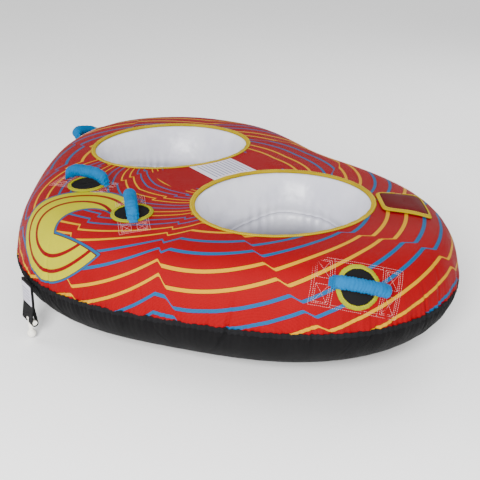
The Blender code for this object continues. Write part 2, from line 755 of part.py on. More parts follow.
def fastening_strip(name, seat, height):
    """Strip of hook or loop tape along the flap's free edge."""
    middle_across = FLAP_HINGE_REACH - FLAP_INNER_WIDTH + FLAP_BINDING + STRIP_MARGIN

    def edge(direction):
        return superellipse(direction, STRIP_HALF_LENGTH, STRIP_HALF_WIDTH, 8)

    def place(direction, share, layer):
        along, across = edge(direction)
        level = height + layer * TAPE_THICKNESS
        return seat.point(along * share, middle_across + across * share, level)
    return sheet(name, place, 20, 2)


def build_fastening(shop, seat):
    shop.add("flap_loop_tape", fastening_strip("flap_loop_tape", seat, TOUCH), "webbing")
    height = TOUCH + TAPE_THICKNESS + TOUCH
    shop.add("flap_hook_tape", fastening_strip("flap_hook_tape", seat, height), "webbing")


def build_valve(shop, seat):
    """Flanged base in the bladder, a screwed insert with its seal, and the cap."""
    frame = seat.matrix(-COVER_THICKNESS - LAYER_GAP)
    top = VALVE_RISE + VALVE_LIP
    bore = VALVE_RADIUS - VALVE_WALL
    ledge = bore - VALVE_LEDGE
    step = -VALVE_DEPTH + VALVE_LEDGE_DEPTH
    base = turned(shop, "valve_base", [
        (bore, top), (VALVE_FLANGE - VALVE_EDGE, top), (VALVE_FLANGE, top - VALVE_EDGE),
        (VALVE_FLANGE, VALVE_RISE), (VALVE_RADIUS, VALVE_RISE), (VALVE_RADIUS, -VALVE_DEPTH),
        (ledge, -VALVE_DEPTH), (ledge, step), (bore, step), (bore, top)], "plastic")
    base.matrix_world = frame
    outside = bore - TOUCH
    mouth = outside - INSERT_RIM
    inner = mouth - INSERT_STEP
    floor = step + TOUCH
    rim_top = top + INSERT_RISE
    insert = turned(shop, "valve_insert", [
        (mouth, rim_top), (outside - VALVE_EDGE, rim_top), (outside, rim_top - VALVE_EDGE),
        (outside, floor), (inner, floor), (inner, floor + INSERT_FLOOR),
        (mouth, floor + INSERT_FLOOR), (mouth, rim_top)], "plastic")
    insert.matrix_world = frame
    build_valve_seal(shop, frame, mouth - 2 * TOUCH, floor + INSERT_FLOOR + TOUCH)
    build_valve_cap(shop, frame, mouth, rim_top + TOUCH)


def build_valve_seal(shop, frame, radius, low):
    high = low + SEAL_THICKNESS
    seal = turned(shop, "valve_seal", [(0, high), (radius, high), (radius, low), (0, low)],
                  "neoprene")
    seal.matrix_world = frame


def build_valve_cap(shop, frame, mouth, low):
    """Screw cap: a disc with a finger bar, and a short spigot into the insert's mouth."""
    radius = mouth + CAP_OVERLAP
    spigot = mouth - 2 * TOUCH
    high = low + CAP_THICKNESS
    edge = CAP_THICKNESS * 0.3
    cap = turned(shop, "valve_cap", [
        (0, high), (radius - edge, high), (radius, high - edge), (radius, low), (spigot, low),
        (spigot, low - CAP_SPIGOT), (0, low - CAP_SPIGOT)], "plastic")
    bar_size = (2 * mouth * 0.85, CAP_BAR_WIDTH, CAP_BAR_WIDTH)
    bar = shop.add_cutter("finger_bar", box_mesh("finger_bar", bar_size, (0, 0, high)))
    combine(cap, bar, "UNION")
    cap.matrix_world = frame


# ---------------------------------------------------------------- tow point
def tow_pivot():
    """Top of the hanging tow strap, just outside the seam tape at the nose."""
    _, nose = outline(math.pi)
    return Vector((0.0, nose - TOW_STANDOFF, seam_height(nose)))


def tow_loop_outline(bar_radius, thickness):
    """Side view of the doubled webbing: two runs from the seam round the cross bar."""
    turn = bar_radius + TOW_BAR_GAP
    outside = turn + thickness
    steps = 10
    top = -0.004
    parting = -TOW_SEWN_LENGTH
    outer = [(-thickness - TOUCH, top), (-thickness - TOUCH, parting)]
    outer += [(-outside * math.cos(math.pi * i / steps),
               -TOW_LENGTH - outside * math.sin(math.pi * i / steps))
              for i in range(steps + 1)]
    outer += [(thickness + TOUCH, parting), (thickness + TOUCH, top)]
    inner = [(TOUCH, parting - thickness)]
    inner += [(turn * math.cos(math.pi * i / steps),
               -TOW_LENGTH - turn * math.sin(math.pi * i / steps))
              for i in range(steps + 1)]
    inner += [(-TOUCH, parting - thickness)]
    return outer, inner


def side_frame(origin):
    """Matrix for a side view: outline X runs along +Y, outline Y up, thickness along X."""
    turn = Matrix(((0, 1, 0), (0, 0, 1), (1, 0, 0))).transposed().to_4x4()
    return Matrix.Translation(origin) @ turn


def build_tow(shop):
    pivot = tow_pivot()
    outer, inner = tow_loop_outline(TOW_BAR_RADIUS, TOW_WEBBING)
    strap = shop.add("tow_strap", flat_outline("tow_strap", outer, TOW_WIDTH / 2, [inner]),
                     "webbing")
    slot_width = 2 * (TOW_STEM_RADIUS + TOW_SLOT_MARGIN)
    slot_size = (6 * TOW_BAR_RADIUS, 5 * TOW_BAR_RADIUS, slot_width)
    slot = box_mesh("stem_slot", slot_size, (0, -TOW_LENGTH - TOW_BAR_RADIUS, 0))
    cut(strap, shop.add_cutter("stem_slot", slot))
    strap.matrix_world = side_frame(pivot)
    label_size = (TRIM_THICKNESS, TOW_LABEL_LENGTH, TOW_LABEL_WIDTH)
    label_x = -TOW_WEBBING - 2 * TOUCH - TRIM_THICKNESS / 2
    label = shop.add("tow_label", box_mesh("tow_label", label_size,
                                           (label_x, -TOW_LABEL_DROP, 0)), "label")
    label.matrix_world = side_frame(pivot)
    build_tow_hook(shop, pivot)
    build_tow_patch(shop)


def build_tow_hook(shop, pivot):
    """Moulded hook: a cross bar in the webbing fold, a stem, a neck and a ball end."""
    centre = pivot - Vector((0, 0, TOW_LENGTH))
    ball_z = -TOW_STEM_LENGTH - TOW_BALL_RADIUS
    arc = 8
    start = math.asin(TOW_NECK_RADIUS / TOW_BALL_RADIUS)
    ball = []
    for i in range(arc + 1):
        bend = start + (math.pi - start) * i / arc
        reach = 0.0 if i == arc else TOW_BALL_RADIUS * math.sin(bend)
        ball.append((reach, ball_z + TOW_BALL_RADIUS * math.cos(bend)))
    profile = [(0, 0), (TOW_STEM_RADIUS, 0), (TOW_STEM_RADIUS, -TOW_STEM_LENGTH * 0.75),
               (TOW_NECK_RADIUS, -TOW_STEM_LENGTH * 0.9)] + ball
    hook = turned(shop, "tow_hook", profile, "plastic", steps=16)
    form = bmesh.new()
    bmesh.ops.create_cone(form, cap_ends=True, segments=16, radius1=TOW_BAR_RADIUS,
                          radius2=TOW_BAR_RADIUS, depth=TOW_WIDTH - 2 * TOW_BAR_MARGIN)
    bmesh.ops.rotate(form, verts=form.verts, matrix=Matrix.Rotation(math.pi / 2, 3, "Y"))
    bar = shop.add_cutter("cross_bar", finish_mesh("cross_bar", form))
    combine(hook, bar, "UNION")
    hook.matrix_world = Matrix.Translation(centre)


def build_tow_patch(shop):
    """Reinforcing patch on the side band under the tow strap."""
    _, nose = outline(math.pi)
    middle = seam_height(nose) - TOW_PATCH_DROP - TOW_PATCH_HEIGHT / 2
    forward = Vector((0, -1, 0))

    def place(direction, share, layer):
        x, up = superellipse(direction, TOW_PATCH_HALF_WIDTH, TOW_PATCH_HEIGHT / 2, 6)
        start = Vector((x * share, nose, middle + up * share))
        on_skin = drop_onto_skin(start, forward, 0.2)
        return on_skin + forward * (2 * TOUCH + layer * TRIM_THICKNESS)
    shop.add("tow_patch", sheet("tow_patch", place, 20, 3), "webbing")


# ---------------------------------------------------------------- rear zipper
def zip_point(x, up, stand):
    """Point on the rear of the side band, up from the zip line, standing off the cover."""
    start = Vector((x, outline(0.0)[1], ZIP_HEIGHT + up))
    on_skin = drop_onto_skin(start, Vector((0, 1, 0)), 0.2)
    return on_skin + Vector((0, 1, 0)) * stand


def zip_strip(name, half_span, half_height, low, high, columns):
    form = bmesh.new()
    bmesh.ops.create_grid(form, x_segments=columns, y_segments=2, size=1.0)
    made = bmesh.ops.extrude_face_region(form, geom=form.faces[:], use_keep_orig=True)
    outside = {g for g in made["geom"] if isinstance(g, bmesh.types.BMVert)}
    for vert in form.verts:
        stand = high if vert in outside else low
        vert.co = zip_point(vert.co.x * half_span, vert.co.y * half_height, stand)
    return finish_mesh(name, form)


def build_zipper(shop):
    tape_low = ZIP_STANDOFF
    tape_high = tape_low + ZIP_TAPE_THICKNESS
    tape = zip_strip("zipper_tape", ZIP_HALF_SPAN, ZIP_TAPE / 2, tape_low, tape_high, 16)
    shop.add("zipper_tape", tape, "zip")
    teeth_low = tape_high + 2 * TOUCH
    teeth_high = teeth_low + ZIP_TEETH_THICKNESS
    teeth = zip_strip("zipper_teeth", ZIP_HALF_SPAN - ZIP_END, ZIP_TEETH / 2, teeth_low,
                      teeth_high, 16)
    shop.add("zipper_teeth", teeth, "zip")
    build_slider(shop, teeth_high)


def build_slider(shop, teeth_high):
    """Slider riding just off the teeth, and the pull that hangs from its lug."""
    place = zip_point(ZIP_TRAVEL, 0.0, teeth_high + ZIP_RUNNING_GAP)
    turn = math.asin(ZIP_TRAVEL / ZIP_ARC)
    frame = Matrix.Translation(place) @ Matrix.Rotation(turn, 4, "Z")
    body = box_mesh("zipper_slider", SLIDER_SIZE, (0, SLIDER_SIZE[1] / 2, 0),
                    bevel=SLIDER_SIZE[1] / 5)
    slider = shop.add("zipper_slider", body, "zip_metal")
    lug = box_mesh("slider_lug", SLIDER_LUG, (0, SLIDER_LUG_OUT, 0))
    eye_out = SLIDER_LUG_OUT + SLIDER_LUG[1] / 12
    eye_size = (2.5 * SLIDER_LUG[0], SLIDER_EYE, SLIDER_EYE)
    eye = box_mesh("slider_eye", eye_size, (0, eye_out, 0))
    combine(slider, shop.add_cutter("slider_lug", lug), "UNION")
    cut(slider, shop.add_cutter("slider_eye", eye))
    slider.matrix_world = frame
    build_pull(shop, frame @ Matrix.Translation((0, eye_out, 0)))


def build_pull(shop, frame):
    bar, half, slot = ZIP_PULL_HALF_THICKNESS, ZIP_PULL_HALF_WIDTH, ZIP_PULL_SLOT
    inside = half - ZIP_PULL_WIRE
    outer = [(half, bar), (half, -ZIP_PULL_LENGTH), (-half, -ZIP_PULL_LENGTH), (-half, bar)]
    inner = [(inside, -bar), (inside, -slot), (-inside, -slot), (-inside, -bar)]
    pull = shop.add("zipper_pull", flat_outline("zipper_pull", outer, bar, [inner]),
                    "zip_metal")
    pull.matrix_world = frame @ Matrix.Rotation(math.pi / 2, 4, "X")


# ---------------------------------------------------------------- assembly
def main():
    clear_scene()
    shop = Workshop()
    valve = valve_seat()
    build_bladder(shop, valve)
    build_cover(shop, valve)
    build_cockpit_bindings(shop)
    build_label(shop)
    build_handles(shop)
    build_flap(shop, valve)
    build_fastening(shop, valve)
    build_valve(shop, valve)
    build_tow(shop)
    build_zipper(shop)


main()
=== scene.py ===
"""Looks of the two-rider towable tube: printed nylon cover, vinyl wells, padded handles, trim.

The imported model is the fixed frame. +Z is up, the nose points to -Y and the riders' left is +X.
"""

import json
import math

import bmesh
import bpy
import numpy as np
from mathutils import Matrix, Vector


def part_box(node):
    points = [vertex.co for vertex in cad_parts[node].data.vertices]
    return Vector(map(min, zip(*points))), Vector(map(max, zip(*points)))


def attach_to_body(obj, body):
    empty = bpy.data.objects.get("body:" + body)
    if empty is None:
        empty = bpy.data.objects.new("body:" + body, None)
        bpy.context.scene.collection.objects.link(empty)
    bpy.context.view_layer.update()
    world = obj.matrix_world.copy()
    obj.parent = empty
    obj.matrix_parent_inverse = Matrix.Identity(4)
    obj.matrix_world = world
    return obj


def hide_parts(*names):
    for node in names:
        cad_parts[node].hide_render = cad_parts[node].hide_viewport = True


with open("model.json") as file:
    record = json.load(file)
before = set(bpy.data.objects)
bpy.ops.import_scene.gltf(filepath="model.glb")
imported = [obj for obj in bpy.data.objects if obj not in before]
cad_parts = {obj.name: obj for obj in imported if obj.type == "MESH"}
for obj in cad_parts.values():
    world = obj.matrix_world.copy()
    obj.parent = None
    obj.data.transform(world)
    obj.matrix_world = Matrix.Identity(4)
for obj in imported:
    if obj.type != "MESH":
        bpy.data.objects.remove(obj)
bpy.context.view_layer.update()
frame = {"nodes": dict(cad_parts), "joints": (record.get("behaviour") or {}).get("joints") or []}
JOINTS = {joint["name"]: joint for joint in frame["joints"]}

# ---- shape of the tube, as in the CAD
OUTLINE_SERIES = (1.0, -0.0718, -0.1853, -0.0838, 0.0238)
CAD_DIRECTIONS = 36          # divisions of the CAD outline, for reading its size off its box
SEAM_HEIGHT = 0.224
SEAM_RISE = 0.020
SETTLE = 0.010
CROWN_TAPER = -0.0219
CROWN_CURVE = -0.083
CROWN_ROLL = -0.020
SHOULDER_POWER = 17.7
SHOULDER_ROUND = 0.645
BELLY_POWER = 3.70
CROWN_HEIGHT = 0.432
COVER_THICKNESS = 0.0018
COCKPIT_BULGE = 0.055
COCKPIT_FLARE = 0.046
RIM_WIDTH = 0.014
RIM_GAP = 0.0004             # cover edge to the inside of its binding
BAND_START = 0.8105          # share of the radius at which the side band meets the floor
GUARDS = ("outer_left", "outer_right", "inner_left", "inner_right")

# ---- fineness of the visible meshes
AROUND = 1280
COVER_ROWS = 128
BAND_ROWS = 30
SEAM_CROWDING = 1.35         # crowds the cover's rows towards the gathered seam
CLEAR = 0.0002               # a sewn cloth's height above the CAD surface
TINY = 1e-9


def full_turn(count):
    return np.linspace(0, 2 * math.pi, count, endpoint=False)


def span(node, axis):
    low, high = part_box(node)
    return high[axis] - low[axis]


def centre(node):
    low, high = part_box(node)
    return (low + high) / 2


# ---- the tube's surface
def outline_series(angle):
    radius = sum(c * np.cos(k * angle) for k, c in enumerate(OUTLINE_SERIES))
    return radius * np.sin(angle), radius * np.cos(angle)


def plan_scale():
    """Radius scale of the outline series in X and Y, from the box of the CAD cover."""
    x, y = outline_series(full_turn(CAD_DIRECTIONS))
    return span("top_cover", 0) / np.ptp(x), span("top_cover", 1) / np.ptp(y)


SCALE_X, SCALE_Y = plan_scale()


def outline(angle, inset=0.0):
    x, y = outline_series(angle)
    x, y = SCALE_X * x, SCALE_Y * y
    shrink = 1 - inset / np.hypot(x, y)
    return x * shrink, y * shrink


def seam_height(y):
    return SEAM_HEIGHT + SEAM_RISE * y


def crown(x, y):
    fall = CROWN_TAPER * y + CROWN_CURVE * y * y + CROWN_ROLL * x * x
    return CROWN_HEIGHT - SEAM_HEIGHT + fall


def skin(angle, share, side, inset=0.0):
    """Points of the tube at shares of the plan radius; side +1 is the top, -1 the belly."""
    edge_x, edge_y = outline(angle, inset)
    x, y = share * edge_x, share * edge_y
    seam = seam_height(y)
    near = np.minimum(share, 1.0)
    if side > 0:
        rise = (1 - near ** SHOULDER_POWER) ** SHOULDER_ROUND
        z = seam + (crown(x, y) - inset) * rise
    else:
        drop = 1 - np.sqrt(1 - near ** BELLY_POWER)
        z = inset * (1 - drop) + np.maximum(0.0, seam * drop - SETTLE * (1 - share * share))
    return np.stack(np.broadcast_arrays(x, y, z), axis=-1)


def share_at(x, y):
    edge_x, edge_y = outline(np.arctan2(x, y))
    return np.hypot(x, y) / np.hypot(edge_x, edge_y)


def top_point(x, y):
    return skin(np.arctan2(x, y), share_at(x, y), 1)


def is_inside(points):
    x, y, z = points[..., 0], points[..., 1], points[..., 2]
    angle, share = np.arctan2(x, y), share_at(x, y)
    high = skin(angle, np.minimum(share, 1), 1)[..., 2]
    low = skin(angle, np.minimum(share, 1), -1)[..., 2]
    return (share < 1) & (z < high) & (z > low)


SLIDE_REACH = 0.12
SLIDE_HALVINGS = 26


def drop_onto_skin(points, normal):
    """Slide points along a normal until they lie on the tube."""
    low = np.full(points.shape[:-1], -SLIDE_REACH)
    high = -low
    for _ in range(SLIDE_HALVINGS):
        middle = (low + high) / 2
        inside = is_inside(points + normal * middle[..., None])
        low = np.where(inside, middle, low)
        high = np.where(inside, high, middle)
    return points + normal * low[..., None]


class Seat:
    """A place on the tube: an origin on the skin, the normal out of it and two tangents."""

    STEP = 0.004             # over which the skin's slope is taken

    def __init__(self, origin, along, normal=None):
        self.origin = np.array(origin, float)
        x, y = self.origin[0], self.origin[1]
        if normal is None:
            run_x = top_point(x + self.STEP, y) - top_point(x - self.STEP, y)
            run_y = top_point(x, y + self.STEP) - top_point(x, y - self.STEP)
            normal = np.cross(run_x, run_y)
        self.normal = np.array(normal, float) / np.linalg.norm(normal)
        along = np.array(along, float)
        along = along - self.normal * along.dot(self.normal)
        self.along = along / np.linalg.norm(along)
        self.across = np.cross(self.normal, self.along)

    def on_skin(self, along, across, height):
        """Points at a height above the skin, which they follow."""
        along, across, height = np.broadcast_arrays(along, across, height)
        flat = self.straight(along, across, np.zeros(along.shape))
        return drop_onto_skin(flat, self.normal) + height[..., None] * self.normal

    def straight(self, along, across, height):
        """Points in the seat's own flat frame."""
        along, across, height = np.broadcast_arrays(along, across, height)
        return (self.origin + along[..., None] * self.along + across[..., None] * self.across
                + height[..., None] * self.normal)

    def ring(self, radius, angle, height):
        """Points on the skin round the seat, at a height above it."""
        return self.on_skin(radius * np.cos(angle), radius * np.sin(angle), height)


def joint_place(name):
    joint = JOINTS[name]
    return np.array(joint["pos_m"]), np.array(joint["axis"])


# ---- mesh helpers
def make_object(name, points, faces, material, weave=None):
    mesh = bpy.data.meshes.new(name)
    mesh.from_pydata(np.asarray(points, float).reshape(-1, 3).tolist(), [], faces)
    mesh.materials.append(material)
    mesh.shade_smooth()
    if weave is not None:
        add_weave(mesh, weave)
    piece = bpy.data.objects.new(name, mesh)
    bpy.context.scene.collection.objects.link(piece)
    return piece


def add_weave(mesh, metres):
    """Store metre coordinates across and along the cloth, for its weave."""
    values = np.zeros((len(mesh.vertices), 3), np.float32)
    values[:, :2] = metres.reshape(-1, 2)
    layer = mesh.attributes.new("weave", "FLOAT_VECTOR", "POINT")
    layer.data.foreach_set("vector", values.ravel())


def add_numbers(mesh, name, values):
    layer = mesh.attributes.new(name, "FLOAT", "POINT")
    layer.data.foreach_set("value", np.asarray(values, np.float32).ravel())


def attach(piece, body, slot, *nodes):
    """Give a piece its body and hide the CAD nodes that it stands for; its material slot is not
    used.
    """
    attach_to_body(piece, body)
    if nodes:
        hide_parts(*nodes)


def grid_faces(rows, columns, around=True, offset=0, flip=False):
    """Quads of a grid of points; around joins the last column to the first."""
    reach = columns if around else columns - 1
    row, column = np.mgrid[0:rows - 1, 0:reach]
    following = (column + 1) % columns
    corners = [row * columns + column, row * columns + following,
               (row + 1) * columns + following, (row + 1) * columns + column]
    if flip:
        corners = corners[::-1]
    return (np.stack([c.ravel() for c in corners], axis=1) + offset).tolist()


def lengths_along(points, axis):
    """Running length of a grid of points along an axis, from zero."""
    steps = np.linalg.norm(np.diff(points, axis=axis), axis=-1)
    start = np.zeros_like(np.take(steps, [0], axis=axis))
    return np.concatenate([start, np.cumsum(steps, axis=axis)], axis=axis)


def grid_normals(points):
    """Normals of a grid whose last column joins the first."""
    run = np.roll(points, -1, axis=1) - np.roll(points, 1, axis=1)
    normal = np.cross(run, np.gradient(points, axis=0))
    size = np.linalg.norm(normal, axis=-1, keepdims=True)
    return normal / np.maximum(size, 1e-12)


def sweep_faces(stations, section, closed_path):
    """Quads of a tube: stations along it, a closed section; the ends are capped when open."""
    if closed_path:
        return (np.array(grid_faces(stations + 1, section)) % (stations * section)).tolist()
    ends = [tuple(range(section))[::-1],
            tuple(range((stations - 1) * section, stations * section))]
    return grid_faces(stations, section) + ends


def swept(name, points, material, closed_path=False):
    """Tube from points[station, corner]; the section's corners run round the path."""
    stations, section = points.shape[:2]
    girth = np.linalg.norm(np.diff(points[0], axis=0), axis=1).sum()
    ring = np.linspace(0, 1, section, endpoint=False) * girth
    run = lengths_along(points.mean(axis=1, keepdims=True), 0)
    weave = np.stack(np.broadcast_arrays(run, ring[None, :]), axis=-1)
    return make_object(name, points, sweep_faces(stations, section, closed_path), material, weave)


# ---- materials
class Graph:
    """Short names for the nodes that the materials are built from."""

    def __init__(self, name):
        self.material = bpy.data.materials.new(name)
        self.material.use_nodes = True
        self.nodes = self.material.node_tree.nodes
        self.links = self.material.node_tree.links
        self.shader = self.nodes["Principled BSDF"]

    def link(self, source, target):
        if hasattr(source, "is_output"):
            self.links.new(source, target)
        else:
            target.default_value = source

    def math(self, operation, *values):
        node = self.nodes.new("ShaderNodeMath")
        node.operation = operation
        for value, socket in zip(values, node.inputs):
            self.link(value, socket)
        return node.outputs[0]

    def ramp(self, value, low, high):
        """0 below low, 1 above high."""
        node = self.nodes.new("ShaderNodeMapRange")
        node.interpolation_type = "SMOOTHSTEP"
        self.link(value, node.inputs["Value"])
        node.inputs["From Min"].default_value = low
        node.inputs["From Max"].default_value = high
        return node.outputs["Result"]

    def mix(self, share, first, second):
        node = self.nodes.new("ShaderNodeMix")
        node.data_type = "RGBA"
        self.link(share, node.inputs[0])
        for value, socket in ((first, node.inputs[6]), (second, node.inputs[7])):
            self.link(value if hasattr(value, "is_output") else (*value, 1.0), socket)
        return node.outputs[2]

    def attribute(self, name):
        node = self.nodes.new("ShaderNodeAttribute")
        node.attribute_name = name
        return node

    def field(self, name):
        """A number stored on the mesh."""
        return self.attribute(name).outputs["Fac"]

    def place(self):
        return self.nodes.new("ShaderNodeTexCoord").outputs["Object"]

    def split(self, vector):
        node = self.nodes.new("ShaderNodeSeparateXYZ")
        self.link(vector, node.inputs[0])
        return node.outputs

    def noise(self, scale, detail=3.0, roughness=0.55, vector=None):
        node = self.nodes.new("ShaderNodeTexNoise")
        self.link(vector or self.place(), node.inputs["Vector"])
        node.inputs["Scale"].default_value = scale
        node.inputs["Detail"].default_value = detail
        node.inputs["Roughness"].default_value = roughness
        return node.outputs["Fac"]

    def weave(self, pitch, stored=True):
        """Height of a plain weave: from metre coordinates stored on the mesh, or from its place."""
        source = self.attribute("weave").outputs["Vector"] if stored else self.place()
        first, second, third = self.split(source)
        if not stored:
            second = self.math("ADD", second, third)
        turns = 2 * math.pi / pitch
        waves = [self.math("SINE", self.math("MULTIPLY", value, turns))
                 for value in (first, second)]
        return self.math("MULTIPLY", *waves)

    def wear(self, scale, swing, low):
        """Roughness that wanders from a low value up by a swing."""
        return self.math("MULTIPLY_ADD", self.noise(scale), swing, low)

    def line(self, distance, outer, inner, strength=1.0):
        """Mask of a drawn line: full nearer than inner, none further off than outer."""
        return self.math("MULTIPLY", self.ramp(distance, outer, inner), strength)

    def bump(self, height, distance, strength=1.0, below=None):
        node = self.nodes.new("ShaderNodeBump")
        node.inputs["Distance"].default_value = distance
        node.inputs["Strength"].default_value = strength
        self.link(height, node.inputs["Height"])
        if below is not None:
            self.link(below, node.inputs["Normal"])
        return node.outputs["Normal"]

    def finish(self, color, roughness, normal=None, **extra):
        self.link(color if hasattr(color, "is_output") else (*color, 1.0),
                  self.shader.inputs["Base Color"])
        self.link(roughness, self.shader.inputs["Roughness"])
        if normal is not None:
            self.link(normal, self.shader.inputs["Normal"])
        for key, value in extra.items():
            self.shader.inputs[key.replace("_", " ")].default_value = value
        return self.material


RED = (0.205, 0.0002, 0.0026)
DARK_RED = (0.075, 0.0002, 0.0012)
YELLOW = (0.43, 0.205, 0.0002)
LEMON = (0.34, 0.325, 0.0002)
BLUE = (0.004, 0.070, 0.175)
CYAN = (0.0, 0.110, 0.285)
LIME = (0.26, 0.27, 0.006)
GOLD = (0.36, 0.25, 0.0006)
BLACK = (0.006, 0.006, 0.0064)
CLOTH_GLOSS = 0.05           # specular level of matt cloth


def shade(color, factor):
    return tuple(min(1.0, channel * factor) for channel in color)


def mottled(graph, color, scale, darker=0.82):
    """Slow variation of a colour over the cloth."""
    share = graph.ramp(graph.noise(scale, 4.0), 0.35, 0.65)
    return graph.mix(share, shade(color, darker), color)


def woven(name, color, pitch, depth, roughness, darker=0.82, mottle=3.0, stored=True):
    """A woven cloth or tape: mottled colour, darker between threads, weave bump."""
    graph = Graph(name)
    weave = graph.weave(pitch, stored)
    base = mottled(graph, color, mottle, darker)
    base = graph.mix(graph.line(weave, 0.2, -0.9, 0.35), base, shade(color, 0.45))
    return graph.finish(base, graph.wear(14.0, 0.16, roughness - 0.08),
                        graph.bump(weave, depth), Specular_IOR_Level=CLOTH_GLOSS)


def printed_cover():
    """Red nylon with paired yellow and blue lines and a lemon crescent at the nose."""
    graph = Graph("printed_nylon")
    stripe = graph.field("stripe")
    offset = graph.math("ABSOLUTE", graph.math("SUBTRACT", graph.math("FRACT", stripe), 0.5))
    pair = graph.math("FLOOR", graph.math("MULTIPLY", stripe, 0.5))
    line = graph.mix(graph.math("FLOORED_MODULO", pair, 2.0), YELLOW, BLUE)
    shown = graph.ramp(graph.field("plain"), 0.0, 0.002)
    color = mottled(graph, RED, 2.4, 0.86)
    border = graph.line(offset, 0.136, 0.118, shown)
    color = graph.mix(graph.math("MULTIPLY", border, 0.8), color, DARK_RED)
    color = graph.mix(graph.line(offset, 0.106, 0.094, shown), color, line)
    nose = graph.field("crescent")
    lemon = mottled(graph, LEMON, 5.0, 0.9)
    for start, end, tone in ((-0.0085, -0.0078, shade(DARK_RED, 0.7)),
                             (-0.0072, -0.0064, BLUE),
                             (-0.0018, -0.0010, shade(DARK_RED, 0.7)),
                             (0.0002, 0.0012, lemon)):
        color = graph.mix(graph.ramp(nose, start, end), color, tone)
    inline = graph.field("inline")
    drawn = graph.line(inline, 0.0010, 0.0, graph.ramp(nose, 0.0, 0.001))
    color = graph.mix(drawn, color, shade(RED, 0.72))
    weave = graph.weave(0.0022)
    color = graph.mix(graph.line(weave, 0.2, -1.0, 0.16), color, (0.05, 0.0, 0.0))
    loose = graph.bump(graph.noise(16.0, 2.0), 0.0040, 0.5)
    return graph.finish(color, graph.wear(9.0, 0.18, 0.44),
                        graph.bump(weave, 0.00016, 1.0, loose), Specular_IOR_Level=CLOTH_GLOSS)


def vinyl():
    """White bladder vinyl: clouded, darker low in the wells as painted shade, with a grey weld
    line.
    """
    graph = Graph("bladder_vinyl")
    height = graph.split(graph.place())[2]
    color = graph.mix(graph.ramp(graph.noise(6.0, 3.0), 0.3, 0.7), (0.46, 0.46, 0.53),
                      (0.57, 0.57, 0.62))
    # painted shade: the vinyl darkens towards the bottom, from a height of 0.31 m to fullest below
    # 0.19 m, standing in for the shadow deep in the wells
    color = graph.mix(graph.line(height, 0.31, 0.19, 0.92), color, (0.10, 0.10, 0.12))
    weld = graph.math("ABSOLUTE", graph.field("weld"))
    color = graph.mix(graph.line(weld, 0.0022, 0.0012, 0.7), color, (0.22, 0.22, 0.27))
    loose = graph.bump(graph.noise(9.0, 3.0), 0.012, 0.6)
    normal = graph.bump(graph.noise(420.0, 2.0), 0.0002, 0.5, loose)
    return graph.finish(color, graph.wear(22.0, 0.22, 0.26), normal)


def neoprene():
    graph = Graph("neoprene")
    color = graph.mix(graph.noise(900.0, 2.0), shade(BLACK, 0.6), shade(BLACK, 1.6))
    return graph.finish(color, graph.wear(30.0, 0.14, 0.70),
                        graph.bump(graph.noise(1400.0, 3.0), 0.0004, 0.9),
                        Specular_IOR_Level=CLOTH_GLOSS)


def moulded(name, color, roughness, grain=600.0):
    graph = Graph(name)
    tone = graph.mix(graph.ramp(graph.noise(18.0), 0.3, 0.7), shade(color, 0.90), color)
    return graph.finish(tone, graph.wear(60.0, 0.14, roughness - 0.07),
                        graph.bump(graph.noise(grain, 3.0), 0.00012, 0.6))


def metal():
    graph = Graph("zip_metal")
    color = graph.mix(graph.noise(120.0), (0.42, 0.42, 0.43), (0.62, 0.62, 0.63))
    return graph.finish(color, graph.wear(200.0, 0.2, 0.24),
                        graph.bump(graph.noise(800.0), 0.0001, 0.6), Metallic=1.0)


def label_print(name, row_pitch, bar_share):
    """White label stock with faint grey ruled bars inside a thin frame line."""
    graph = Graph(name)
    across, down, _ = graph.split(graph.attribute("weave").outputs["Vector"])
    rows = graph.math("DIVIDE", down, row_pitch)
    row = graph.math("FRACT", rows)
    bar = graph.math("MULTIPLY", graph.ramp(row, 0.30, 0.36), graph.ramp(row, 0.74, 0.68))
    spread = graph.nodes.new("ShaderNodeCombineXYZ")
    graph.link(graph.math("DIVIDE", across, row_pitch * 3), spread.inputs[0])
    graph.link(graph.math("FLOOR", rows), spread.inputs[1])
    broken = graph.ramp(graph.noise(1.0, 2.0, 0.6, spread.outputs[0]), 1 - bar_share,
                        1.03 - bar_share)
    edge = graph.field("margin")
    printed = graph.ramp(edge, 0.0100, 0.0106)
    ink = graph.math("MULTIPLY", graph.math("MULTIPLY", bar, broken), printed)
    rule = graph.line(edge, 0.0076, 0.0072, graph.ramp(edge, 0.0060, 0.0064))
    paper = graph.mix(graph.noise(12.0), (0.44, 0.42, 0.48), (0.52, 0.50, 0.56))
    color = graph.mix(graph.math("MULTIPLY", ink, 0.85), paper, (0.07, 0.07, 0.16))
    color = graph.mix(graph.math("MULTIPLY", rule, 0.8), color, (0.30, 0.28, 0.42))
    return graph.finish(color, graph.wear(40.0, 0.12, 0.40),
                        graph.bump(graph.noise(500.0), 0.0001, 0.5))


def floor_material():
    graph = Graph("studio_floor")
    color = graph.mix(graph.noise(0.7, 2.0), (0.93, 0.93, 0.93), (0.96, 0.96, 0.96))
    return graph.finish(color, 0.9)


